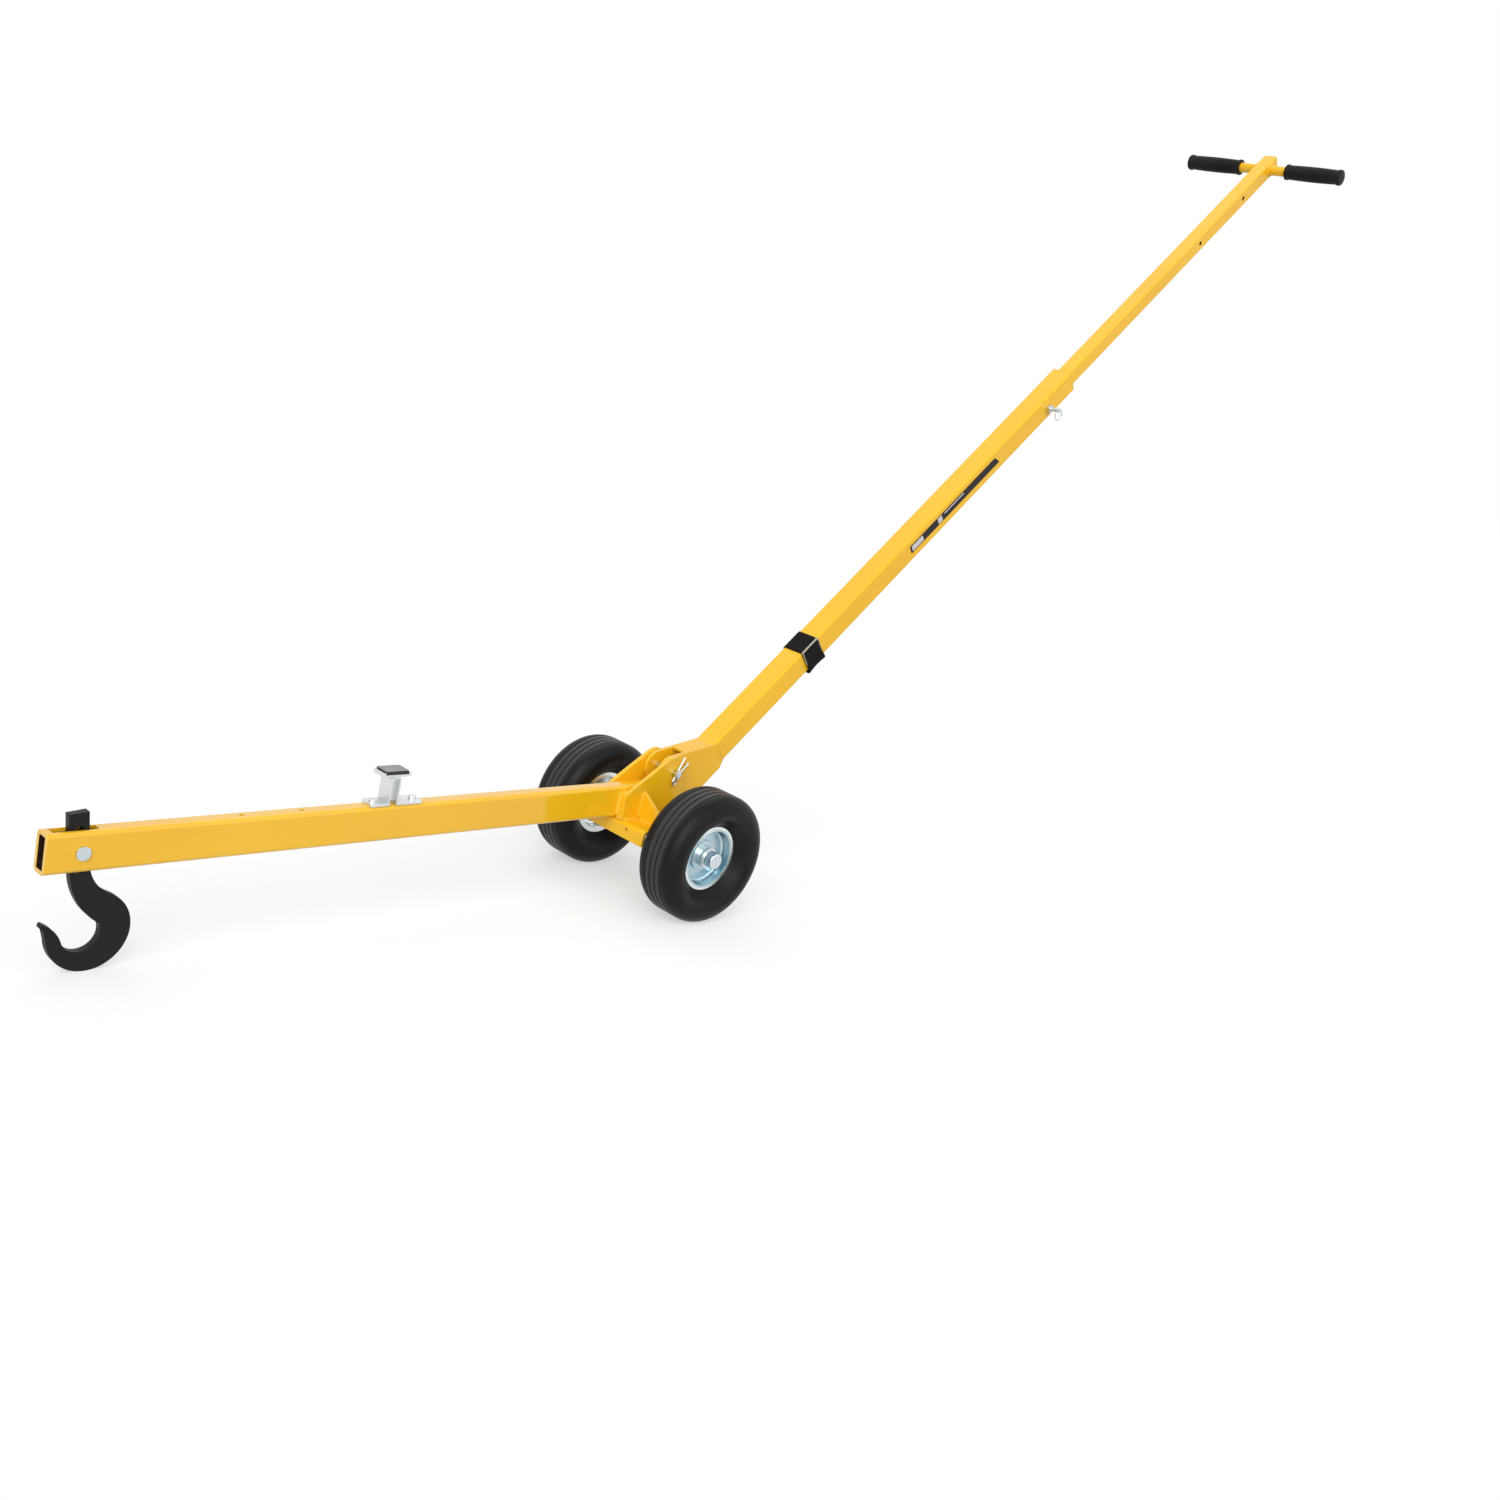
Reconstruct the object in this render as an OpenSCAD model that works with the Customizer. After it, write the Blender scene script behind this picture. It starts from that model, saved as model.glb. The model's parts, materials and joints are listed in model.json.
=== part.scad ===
// Wheeled lever lifter: a long boom with a swinging hook, two wheels as the fulcrum,
// and a folding, telescopic handle with a cross grip. Millimetres, +Z up, handle towards +X.

/* [Boom] */
// Axle to the front end of the boom
boom_reach = 953; // [850:1:1050]
// Boom height
boom_h = 50; // [46:1:60]
// Boom width
boom_w = 25; // [24:0.5:30]
// Boom wall
boom_wall = 5; // [4:0.5:5.5]
// Outer corner radius of the boom
boom_corner = 6; // [5:0.5:8]
// Length of boom that lies between the cheeks
boom_lap = 68; // [55:1:72]
// Distance from the axle to the nearer of the two spare holes in the boom's top
spare_hole_at = 628; // [600:1:660]
// Distance between the two spare holes
spare_hole_gap = 83; // [60:1:100]
// Diameter of the holes for the rest's screws
screw_hole_d = 6.6; // [6.2:0.2:8]

/* [Hook] */
// Hook plate thickness
hook_t = 10; // [8:1:12]
// Width of the hook's shank
shank_w = 23; // [21:0.5:26]
// Distance from the boom's front end to the hook pin
hook_pin_inset = 42; // [36:1:48]
// Hook pin diameter
hook_pin_d = 10; // [8:0.5:11]
// Distance between the shank's height holes
hook_pitch = 25; // [24:0.5:34]
// Shank above its top hole
shank_margin = 20.5; // [14:0.5:26]
// Radius of the hook's back
hook_back_r = 49.5; // [47:0.5:54]
// Radius of the hook's bowl
bowl_r = 23; // [20:0.5:25]
// Offset of the back's centre behind the bowl's centre
back_shift = 10; // [7:0.5:12]
// Radius of the hollow between shank and back
nape_r = 50; // [40:1:60]
// Angle on the bowl at which the neck meets it
throat_angle = 19; // [14:1:30]
// Height, above the bowl's centre, at which the neck leaves the shank
neck_rise = 78; // [72:0.5:84]
// Radius of the tip's inner edge
tip_r = 44.5; // [42:0.5:50]
// Angle on the bowl at which the tip's inner edge meets it
bowl_start = 194; // [190:1:200]
// Angle at which the tip's inner edge ends
tip_angle = 60; // [54:1:68]
// How far the tip is turned outwards
tip_flare = 4.6; // [3:0.2:6]
// Height on the hook's back at which the tip starts to turn outwards
tip_foot = 13; // [10:0.5:15]
// Backward lean of the hook at rest
hook_lean = 6.6; // [3:0.1:8]
// Forward swing of the hook
hook_swing = 22; // [15:1:26]

/* [Wheels] */
// Tyre outer radius
wheel_r = 102; // [97:1:110]
// Tyre width
tyre_w = 80; // [70:1:90]
// Axle centre line to middle of tyre
wheel_at = 123; // [118:1:130]
// Tyre shoulder radius
shoulder_r = 22; // [18:1:24]
// Tread groove width
groove_w = 3; // [2:0.5:5]
// Tread groove depth
groove_d = 3; // [2:0.5:5]
// Number of tread grooves
groove_count = 4; // [2:1:5]
// Distance between tread grooves
groove_pitch = 10.5; // [9:0.5:12]
// Rim barrel radius, where the tyre sits
rim_r = 46; // [43:0.5:48]
// Height of the rim's lip over the barrel
lip_h = 5; // [4:0.5:6]
// Rim barrel width inside the lips
rim_w = 33; // [28:1:38]
// Rim sheet thickness
rim_t = 2.5; // [2:0.25:3]
// Radius of the pressed ring round the hub
boss_r = 24; // [21:0.5:28]
// Height of the pressed ring
boss_h = 4; // [3:0.5:6]
// Hub tube outer diameter
hub_d = 32; // [28:1:33]
// Hub from tyre middle to its inner end
hub_in = 27; // [24:1:32]
// Hub from tyre middle to its outer end
hub_out = 15; // [14:0.5:17]
// Wall of the plain bushes in the hub
bush_t = 2.5; // [2:0.5:3.5]
// Length of each plain bush
bush_len = 14; // [10:1:16]
// Axle diameter
axle_d = 16; // [14:0.5:18]
// Outer diameter of the end cap on the axle
axle_cap_d = 26; // [22:0.5:28]
// Length of the end cap on the axle
axle_cap_len = 16; // [10:0.5:18]
// Thickness of the washer beside the wheel
axle_washer_t = 2; // [1.5:0.5:3]

/* [Base] */
// Height of the base's top above the axle
base_rise = 25; // [24.5:0.5:34]
// Sheet thickness of the base
base_t = 5; // [4:0.5:7]
// Axle to the base's front edge
base_front = 84; // [80:1:96]
// Axle to the base's rear edge
base_rear = 56; // [50:1:70]
// Base width
base_w = 152; // [136:1:156]
// Depth of the base's front and rear flanges
flange_h = 24.5; // [18:0.5:26]
// Diameter of the small holes in the front flange
flange_hole_d = 6; // [4:0.5:8]
// Distance between the small holes in the front flange
flange_hole_gap = 78; // [60:1:100]
// Axle hanger thickness
hanger_t = 8; // [6:0.5:10]
// Distance between the middles of the axle hangers
hanger_gap = 120; // [100:1:126]
// Axle hanger radius round the axle
hanger_r = 17; // [14:0.5:20]
// Outer diameter of the axle spacers
spacer_d = 24; // [21:0.5:28]
// Gap between the two cheeks
cheek_gap = 38; // [37:0.5:44]
// Cheek plate thickness
cheek_t = 6.4; // [5:0.2:8]
// Radius of the cheek's front corner
nose_r = 12; // [8:1:16]
// Height of the cheek's front corner centre above the base
nose_rise = 33; // [26:0.5:36]
// Radius of the cheek's ear round the pivot
ear_r = 26; // [24.5:0.5:27]
// Gusset plate thickness
gusset_t = 6; // [4:0.5:8]
// Axle to the gusset
gusset_at = 46; // [38:1:56]
// Gusset height at the cheek
gusset_h = 44.5; // [36:0.5:50]
// Gusset height at the base's side
gusset_toe = 14.5; // [8:0.5:18]

/* [Knee] */
// Axle to the handle pivot, towards the handle
pivot_back = 10; // [6:1:14]
// Handle pivot above the base
pivot_rise = 70.5; // [68:0.5:74]
// Handle pivot pin diameter
pivot_d = 12; // [10:0.5:14]
// Pivot pin head diameter
pivot_head_d = 20; // [18:0.5:24]
// Pivot pin head thickness
pivot_head_t = 4; // [3:0.5:6]
// How far the pivot pin stands out for its clip
pivot_tail = 10; // [9:0.5:14]
// Washer beside the knee
knee_washer_t = 1; // [0.8:0.1:1.4]
// Outer diameter of the washer beside the knee
knee_washer_d = 30; // [24:1:40]
// Knee plate thickness
knee_t = 6; // [4:0.5:7]
// Radius of the knee's lug round the pivot
lug_r = 24; // [20:0.5:24]
// Axle to the front of the knee's foot
foot_front = 22; // [16:1:30]
// How far the knee reaches below the handle tube
knee_drop = 8; // [5:0.5:12]
// Length of the knee's tongue inside the handle tube
tongue_len = 60; // [40:1:80]
// Thickness of the web across the knee's top
web_t = 4; // [3:0.5:6]
// Length of the web across the knee's top
web_len = 66; // [40:1:70]
// Wire diameter of the spring clips
clip_d = 3; // [2.4:0.1:3.4]

/* [Handle] */
// Handle angle above the boom
handle_angle = 42.7; // [38:0.1:48]
// Pivot to the handle tube's upper face
handle_offset = 28; // [27.5:0.5:34]
// Handle tube size across the flats
tube_w = 40; // [39.5:0.5:44]
// Handle tube wall
tube_wall = 1.5; // [1.4:0.1:2]
// Handle tube corner radius
tube_corner = 4; // [3:0.5:6]
// Pivot foot to the start of the handle tube
tube_start = 95; // [88:1:105]
// Length of the handle tube
tube_len = 1011; // [950:1:1100]
// Sliding tube size across the flats
slide_w = 28; // [25:0.5:30]
// Sliding tube wall
slide_wall = 1.2; // [1.2:0.1:2]
// Sliding tube corner radius
slide_corner = 3; // [2.5:0.5:5]
// Length of the sliding tube that shows at full reach
slide_out = 760; // [740:1:800]
// Length of the sliding tube that stays inside at full reach
slide_in = 141; // [125:1:160]
// Travel of the sliding tube
slide_travel = 710; // [600:1:715]
// Travel from the shortest reach to the middle lock hole
slide_step = 164; // [120:1:240]
// Length of the nylon bush in the handle tube's mouth
mouth_len = 40; // [30:1:50]
// Thickness of the mouth bush's collar
mouth_collar = 3; // [2:0.5:5]
// Length of the nylon bush on the sliding tube's tail
tail_len = 40; // [30:1:60]
// Mouth of the handle tube to the lock pin
lock_inset = 81; // [60:1:95]
// Lock pin diameter
lock_d = 8; // [6:0.5:10]
// Lock pin travel
lock_travel = 8; // [6:0.5:9]
// Outer diameter of the lock pin's sleeve
lock_sleeve_d = 14; // [13:0.5:18]
// Length of the lock pin's sleeve
lock_sleeve_len = 10; // [8:0.5:16]
// How far the lock pin stands out of its sleeve
lock_tail = 17; // [15:0.5:22]
// Wire diameter of the lock pin's ring
ring_d = 2; // [1.6:0.1:2.4]
// Middle radius of the lock pin's ring
ring_r = 10; // [9:0.5:13]
// Grip bar diameter
bar_d = 19; // [16:0.5:22]
// Grip bar wall
bar_wall = 1.5; // [1.5:0.25:3]
// Grip bar length without the grips' ends
bar_len = 328; // [300:1:360]
// Grip bar to the sliding tube's end
bar_inset = 25; // [20:1:40]
// Grip diameter
grip_d = 30; // [26:1:34]
// Grip length over the bar
grip_len = 114; // [90:1:130]
// Grip end wall
grip_end = 3; // [2:0.5:5]
// Thickness of the sliding tube's end cap
cap_t = 3; // [2:0.5:5]
// Depth of the end cap's plug
cap_plug = 12; // [8:1:14]
// Handle tube start to the strap
strap_at = 217; // [150:1:400]
// Strap width
strap_w = 40; // [30:1:50]
// Strap thickness
strap_t = 2.4; // [1.6:0.2:4]

/* [Handle rest] */
// Axle to the middle of the rest's foot
rest_at = 493; // [400:1:580]
// Length of the rest's foot
rest_foot_len = 82; // [72:1:100]
// Width of the rest
rest_w = 24; // [20:1:25]
// Thickness of the rest's foot
rest_foot_t = 4; // [3:0.5:6]
// Middle of the foot to the post, towards the hook
rest_post_shift = 7; // [0:1:10]
// Post size along the boom
rest_post_len = 15; // [12:1:20]
// Post wall
rest_post_wall = 2.5; // [1.5:0.5:3]
// Saddle length
rest_saddle_len = 42; // [36:1:60]
// Saddle thickness
rest_saddle_t = 3; // [2:0.5:5]
// Height of the saddle's turned-up ends
rest_saddle_lip = 3; // [2:0.5:5]
// Rubber pad thickness
rest_pad_t = 5; // [5:0.5:10]
// Distance between the foot's screws
rest_screw_gap = 62; // [56:1:68]
// Screw shank diameter
screw_d = 6; // [5:0.2:6]
// Screw head diameter
screw_head_d = 11; // [9:0.5:13]
// Screw head height
screw_head_h = 3.5; // [2.5:0.5:5]

/* [Hidden] */
$fn = 64;

// Clearances: a turning or sliding fit, a seat that doesn't move, and two pieces kept apart
run_gap = 0.05;
seat_gap = 0.05;
clear_gap = 0.3;
slide_gap = 0.25;
slot_gap = 1;
slot_bridge = 8;
side_gap = 0.1;
cut = 1;
least_r = 0.6;

YELLOW = "#F4B81E";
BLACK = "#1C1C1C";
ZINC = "#C9CED2";
RUBBER = "#242424";
NYLON = "#2B2B2B";

// Heights of the boom, the base and the pivot
base_top = wheel_r + base_rise;
boom_mid = base_top + boom_h/2;
boom_top = base_top + boom_h;
boom_front = -boom_reach;
boom_rear = boom_lap - base_front;
pivot = [pivot_back, base_top + pivot_rise];
cheek_in = cheek_gap/2;
cheek_out = cheek_in + cheek_t;

// Handle frame: its foot lies square below the pivot, X runs up the handle, Z is its upper side
handle_foot_drop = handle_offset + tube_w/2;
handle_foot = pivot + handle_foot_drop*[sin(handle_angle), -cos(handle_angle)];
tube_end = tube_start + tube_len;
tube_in = tube_w - 2*tube_wall;
slide_start = tube_end - slide_in;
slide_end = tube_end + slide_out;
slide_inner = slide_w - 2*slide_wall;
lock_at = tube_end - lock_inset;
bar_at = slide_end - bar_inset;
knee_out = cheek_in - knee_washer_t - side_gap;
knee_mid = knee_out - knee_t/2;

// Overall length, which puts the origin under the middle of the lifter
back_reach = handle_foot[0] + (slide_end + cap_t)*cos(handle_angle) + slide_w/2*sin(handle_angle);
middle = (boom_front + back_reach)/2;

// Hook, in the shank's own frame with the pin at zero
hook_pin = [boom_front + hook_pin_inset, boom_mid];
hook_drop = (hook_pin[1] - hook_back_r + back_shift*sin(hook_lean))/cos(hook_lean);
back_centre = [back_shift, -hook_drop];
shank_half = shank_w/2;
shank_top = hook_pitch + shank_margin;
hook_bore_d = hook_pin_d + 2*run_gap;
neck_v = neck_rise - hook_drop;
bowl_centre = [0, -hook_drop];
throat = bowl_centre + bowl_r*[cos(throat_angle), sin(throat_angle)];
neck_u = (pow(throat[0], 2) + pow(neck_v - throat[1], 2) - pow(shank_half, 2))
    /(2*(shank_half + throat[0]));
neck_angle = 360 + atan2(throat[1] - neck_v, throat[0] - neck_u);
nape_dx = shank_half + nape_r - back_shift;
nape_angle = acos(nape_dx/(hook_back_r + nape_r));
nape = back_centre + (hook_back_r + nape_r)*[cos(nape_angle), sin(nape_angle)];
tip_left = back_shift - hook_back_r;
tip_centre = bowl_centre + (tip_r + bowl_r)*[cos(bowl_start), sin(bowl_start)];
tip = tip_centre + tip_r*[cos(tip_angle), sin(tip_angle)];
slot_w = hook_t + 2*slot_gap;
slot_top_end = hook_pin[0] + boom_h/2*tan(hook_swing - hook_lean)
    + shank_half/cos(hook_swing - hook_lean) + cut;
slot_bottom_end = hook_pin[0] + boom_h/2*tan(hook_lean) + shank_half/cos(hook_lean) + cut;

// Rest, from the folded handle down to the boom
folded_face = pivot[1] + handle_offset;
pad_top = folded_face - clear_gap;
saddle_base = pad_top - rest_pad_t - rest_saddle_t;
rest_foot_top = boom_top + rest_foot_t;
post_at = -rest_at - rest_post_shift;
post_h = saddle_base - boom_top;
rest_bend = 2.5;
rest_corner = 3;
pad_corner = 2;

// Wheel stations, measured out from the middle of the lifter
hub_end = wheel_at + hub_out;
washer_at = hub_end + clear_gap;
axle_cap_at = washer_at + axle_washer_t;
cap_crown = 3;
bead_step = 0.5;
bead_half = rim_w/2 + rim_t + bead_step;
cap_round = 2;
axle_end = axle_cap_at + axle_cap_len - cap_crown;
lip_r = rim_r + lip_h;

function turn(p, a) = [p[0]*cos(a) - p[1]*sin(a), p[0]*sin(a) + p[1]*cos(a)];
function out(a) = [-sin(a), cos(a)];
// Points along an arc in n steps
function arc(c, r, a, b, n = 24) = [for (i = [0 : n]) let (t = a + (b - a)*i/n) c + r*[cos(t), sin(t)]];
// A point on the handle's side: s along it, n above its axis
function on_side(s, n) = handle_foot + turn([s, n], handle_angle);

// Everything stands in the middle's frame
module placed() translate([-middle, 0, 0]) children();

// A flat outline in X and Z, made a plate about the middle plane y
module side_plate(y, t) translate([0, y + t/2, 0]) rotate([90, 0, 0])
    linear_extrude(height = t) children();

// A flat outline in Y and Z, run along X
module along_x(x, len) translate([x, 0, 0]) rotate([90, 0, 90])
    linear_extrude(height = len) children();

// A round bar along Y
module cross_bar(d, y0, y1) translate([0, y0, 0]) rotate([-90, 0, 0])
    cylinder(d = d, h = y1 - y0);

module at_point(p) translate([p[0], 0, p[1]]) children();

module on_handle(s = 0) at_point(handle_foot) rotate([0, -handle_angle, 0])
    translate([s, 0, 0]) children();

module both_sides() {
    children();
    mirror([0, 1, 0]) children();
}

module round_rect(w, h, r) {
    square([w - 2*r, h], center = true);
    square([w, h - 2*r], center = true);
    for (sx = [-1, 1], sy = [-1, 1]) translate([sx*(w/2 - r), sy*(h/2 - r)]) circle(r = r);
}

module tube_section(w, h, r, wall) difference() {
    round_rect(w, h, r);
    round_rect(w - 2*wall, h - 2*wall, max(r - wall, least_r));
}

// Boom
module boom_tube() color(YELLOW) placed() difference() {
    translate([0, 0, boom_mid]) along_x(boom_front, boom_rear - boom_front)
        tube_section(boom_w, boom_h, boom_corner, boom_wall);
    hook_slot(boom_top, slot_top_end);
    hook_slot(base_top, slot_bottom_end);
    at_point(hook_pin) cross_bar(hook_pin_d + 2*seat_gap, -boom_w, boom_w);
    for (x = rest_screw_places()) boom_top_hole(x);
    for (d = [0, spare_hole_gap]) boom_top_hole(-spare_hole_at - d);
}

module hook_slot(z, x_end) translate([boom_front + slot_bridge, -slot_w/2, z - 2*boom_wall])
    cube([x_end - boom_front - slot_bridge, slot_w, 4*boom_wall]);

module boom_top_hole(x) translate([x, 0, boom_top - 2*boom_wall])
    cylinder(d = screw_hole_d, h = 4*boom_wall);

function rest_screw_places() = [for (s = [-1, 1]) -rest_at + s*rest_screw_gap/2];

// Hook pin with its head on the left, held by a clip on the right
hook_head_over = 3.5;
hook_head_d = hook_pin_d + 2*hook_head_over;
hook_head_t = 3;
hook_tail = 9;
hook_spacer_wall = 4;

module hook_pin() color(ZINC) placed() at_point(hook_pin) difference() {
    union() {
        cross_bar(hook_pin_d, -boom_w/2, boom_w/2 + hook_tail);
        cross_bar(hook_head_d, -boom_w/2 - hook_head_t, -boom_w/2);
    }
    translate([0, boom_w/2 + hook_tail/2, 0]) clip_hole(hook_pin_d);
}

module clip_hole(d) cylinder(d = clip_d + 4*seat_gap, h = 2*d, center = true);

module hook_pin_clip() color(ZINC) placed() at_point(hook_pin)
    translate([0, boom_w/2 + hook_tail/2, 0]) spring_clip(hook_pin_d);

module hook_spacers() color(ZINC) placed() at_point(hook_pin) both_sides() difference() {
    cross_bar(hook_pin_d + 2*hook_spacer_wall, hook_t/2 + clear_gap, boom_w/2 - boom_wall - seat_gap);
    cross_bar(hook_pin_d + 2*seat_gap, 0, boom_w/2);
}

clip_over = 17;

// Spring clip: one straight leg through the pin, the other bowed round it, joined by an eye
module spring_clip(d) {
    leg = d + clip_over;
    eye_r = 1.5*clip_d;
    bow_r = d/2 + clip_d/2 + clear_gap;
    bow_half = 40;
    swept_wire(concat(
        [[0, leg]],
        arc([eye_r, -d], eye_r, 180, 360, 12),
        arc([0, 0], bow_r, -bow_half, bow_half, 8),
        [[3*eye_r, leg - eye_r]]));
}

// Wire of eight sides bent along points in X and Z
module swept_wire(path) {
    sides = 8;
    last = len(path) - 1;
    function heading(i) = let (v = path[min(i + 1, last)] - path[max(i - 1, 0)]) v/norm(v);
    function ring(i) = let (h = heading(i)) [for (k = [0 : sides - 1])
        let (a = 360*(k + 0.5)/sides, n = clip_d/2*cos(a))
            [path[i][0] - n*h[1], clip_d/2*sin(a), path[i][1] + n*h[0]]];
    polyhedron(
        points = [for (i = [0 : last]) each ring(i)],
        faces = concat(
            [[for (k = [0 : sides - 1]) k]],
            [[for (k = [sides - 1 : -1 : 0]) last*sides + k]],
            [for (i = [0 : last - 1], k = [0 : sides - 1])
                let (a = i*sides + k, b = i*sides + (k + 1)%sides)
                    each [[a, a + sides, b], [b, a + sides, b + sides]]]));
}

// Hook plate, one outline: shank, nape, back, tip, bowl and neck
module hook() color(BLACK) placed() at_point(hook_pin) rotate([0, -hook_lean, 0])
    side_plate(0, hook_t) difference() {
        polygon(concat(
            [[-shank_half, shank_top], [shank_half, shank_top]],
            arc(nape, nape_r, 180, 180 + nape_angle),
            arc(back_centre, hook_back_r, nape_angle, -180, 60),
            [[tip_left - tip_flare/2, back_centre[1] + tip_foot], tip - [tip_flare/2, tip_flare]],
            arc(tip_centre, tip_r, tip_angle, bowl_start - 180, 12),
            arc(bowl_centre, bowl_r, bowl_start, 360 + throat_angle, 36),
            arc([neck_u, neck_v], neck_u + shank_half, neck_angle, 180)));
        for (k = [-1, 0, 1]) translate([0, k*hook_pitch]) circle(d = hook_bore_d);
    }

// Rest for the folded handle: a strip bent up into a post between two flat feet
module rest_foot() color(ZINC) placed() difference() {
    translate([-rest_at, 0, boom_top]) linear_extrude(height = rest_foot_t)
        round_rect(rest_foot_len, rest_w, rest_corner);
    translate([post_at - rest_post_len/2, -rest_w, boom_top - cut])
        cube([rest_post_len, 2*rest_w, rest_foot_t + 2*cut]);
    for (x = rest_screw_places()) translate([x, 0, boom_top - cut])
        cylinder(d = screw_hole_d, h = rest_foot_t + 2*cut);
}

module rest_post() color(ZINC) placed() translate([post_at, 0, boom_top])
    side_plate(0, rest_w) difference() {
        post_outline(rest_post_len, post_h, rest_bend + rest_post_wall);
        translate([0, -cut])
            post_outline(rest_post_len - 2*rest_post_wall, post_h - rest_post_wall + cut, rest_bend);
    }

// An upright with a rounded top
module post_outline(len, h, r) polygon(concat([[len/2, 0]],
    arc([len/2 - r, h - r], r, 0, 90, 8), arc([r - len/2, h - r], r, 90, 180, 8), [[-len/2, 0]]));

// Saddle: a channel with two low ends that hold the pad
module rest_saddle() color(ZINC) placed() translate([post_at, 0, saddle_base])
    difference() {
        translate([-rest_saddle_len/2, -rest_w/2, 0])
            cube([rest_saddle_len, rest_w, rest_saddle_t + rest_saddle_lip]);
        translate([-rest_saddle_len/2 + rest_saddle_t, -rest_w, rest_saddle_t])
            cube([rest_saddle_len - 2*rest_saddle_t, 2*rest_w, 2*rest_saddle_lip]);
    }

module rest_pad() color(RUBBER) placed()
    translate([post_at, 0, saddle_base + rest_saddle_t])
        linear_extrude(height = rest_pad_t)
            round_rect(rest_saddle_len - 2*rest_saddle_t - 2*seat_gap, rest_w, pad_corner);

module rest_screws() color(ZINC) placed() for (x = rest_screw_places())
    translate([x, 0, rest_foot_top]) {
        cylinder(d = screw_head_d, h = screw_head_h);
        translate([0, 0, -rest_foot_t - boom_wall]) cylinder(d = screw_d, h = rest_foot_t + boom_wall);
    }

// Base: a folded channel, open at its sides
module base_channel() color(YELLOW) placed() difference() {
    side_plate(0, base_w) difference() {
        base_outline(0, base_top, flange_h);
        base_outline(base_t, base_top - base_t, flange_h);
    }
    for (s = [-1, 1]) translate([-base_front - cut, s*flange_hole_gap/2, base_top - 2*base_t])
        rotate([0, 90, 0]) cylinder(d = flange_hole_d, h = base_t + 2*cut);
}

// The channel's outer or inner line, with rounded folds
module base_outline(inset, top, depth) {
    fold_r = base_t*1.5 - inset;
    left = -base_front + inset;
    right = base_rear - inset;
    translate([left, top - depth - inset]) square([right - left, depth + inset - fold_r]);
    translate([left + fold_r, top - 2*fold_r]) square([right - left - 2*fold_r, 2*fold_r]);
    for (x = [left + fold_r, right - fold_r]) translate([x, top - fold_r]) circle(r = fold_r);
}

// Cheek: a plate from the boom's end up to its ear round the pivot
nose = [-base_front + nose_r, base_top + nose_rise];
nose_to_ear = pivot - nose;
cheek_slope = atan2(nose_to_ear[1], nose_to_ear[0])
    + asin((ear_r - nose_r)/norm(nose_to_ear));

module cheek(side) side_plate(side*(cheek_in + cheek_t/2), cheek_t) difference() {
    polygon(concat(
        [[-base_front, base_top]],
        arc(nose, nose_r, 180, 90 + cheek_slope, 8),
        arc(pivot, ear_r, 90 + cheek_slope, 0),
        [[pivot[0] + ear_r, base_top]]));
    translate(pivot) circle(d = pivot_d + 2*seat_gap);
}

// Packing strip that fills the gap between the boom's side and the cheek
module cheek_packer(side) {
    packer_t = cheek_in - boom_w/2;
    side_plate(side*(cheek_in - packer_t/2), packer_t) polygon(concat(
        [[-base_front, base_top]],
        arc(nose, nose_r, 180, 90 + cheek_slope, 8),
        [[boom_rear, nose[1] + nose_r*sin(90 + cheek_slope)], [boom_rear, base_top]]));
}

module cheek_left() color(YELLOW) placed() cheek(-1);
module cheek_right() color(YELLOW) placed() cheek(1);
module cheek_packers() color(YELLOW) placed() for (s = [-1, 1]) cheek_packer(s);

module gusset() along_x(-gusset_at - gusset_t/2, gusset_t) polygon([[cheek_out, base_top],
    [cheek_out, base_top + gusset_h], [base_w/2, base_top + gusset_toe], [base_w/2, base_top]]);

module gusset_left() color(YELLOW) placed() mirror([0, 1, 0]) gusset();
module gusset_right() color(YELLOW) placed() gusset();

// Axle group
hanger_top = base_top - base_t;

module axle_hangers() color(YELLOW) placed() for (s = [-1, 1])
    side_plate(s*hanger_gap/2, hanger_t) difference() {
        union() {
            translate([0, wheel_r]) circle(r = hanger_r);
            translate([-hanger_r, wheel_r]) square([2*hanger_r, hanger_top - wheel_r]);
        }
        translate([0, wheel_r]) circle(d = axle_d + 2*seat_gap);
    }

module on_axle() placed() translate([0, 0, wheel_r]) children();

module axle() color(ZINC) on_axle() cross_bar(axle_d, -axle_end, axle_end);

module ring_bar(d_out, d_in, y0, y1) difference() {
    cross_bar(d_out, y0, y1);
    cross_bar(d_in, y0 - cut, y1 + cut);
}

module axle_spacers() color(ZINC) on_axle() both_sides()
    ring_bar(spacer_d, axle_d + 2*seat_gap, hanger_gap/2 + hanger_t/2, wheel_at - hub_in - clear_gap);

module axle_washers() color(ZINC) on_axle() both_sides()
    ring_bar(hub_d, axle_d + 2*seat_gap, washer_at, axle_cap_at);

// Push-on cap with a rounded rim, closed over the axle's end
module axle_caps() color(ZINC) on_axle() both_sides() translate([0, axle_cap_at, 0])
    rotate([-90, 0, 0]) rotate_extrude() difference() {
        union() {
            square([axle_cap_d/2, axle_cap_len - cap_round]);
            square([axle_cap_d/2 - cap_round, axle_cap_len]);
            translate([axle_cap_d/2 - cap_round, axle_cap_len - cap_round]) circle(r = cap_round);
        }
        translate([-axle_d, -cut]) square([axle_d*1.5 + seat_gap, axle_end - axle_cap_at + cut + seat_gap]);
        translate([-axle_cap_d, -cut]) square([axle_cap_d, axle_cap_len + 2*cut]);
    }

// Wheel sections: radius along X, distance from the tyre's middle along Y
module wheel_part(side) on_axle() translate([0, side*wheel_at, 0])
    rotate([-90*side, 0, 0]) rotate_extrude() children();

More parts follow.
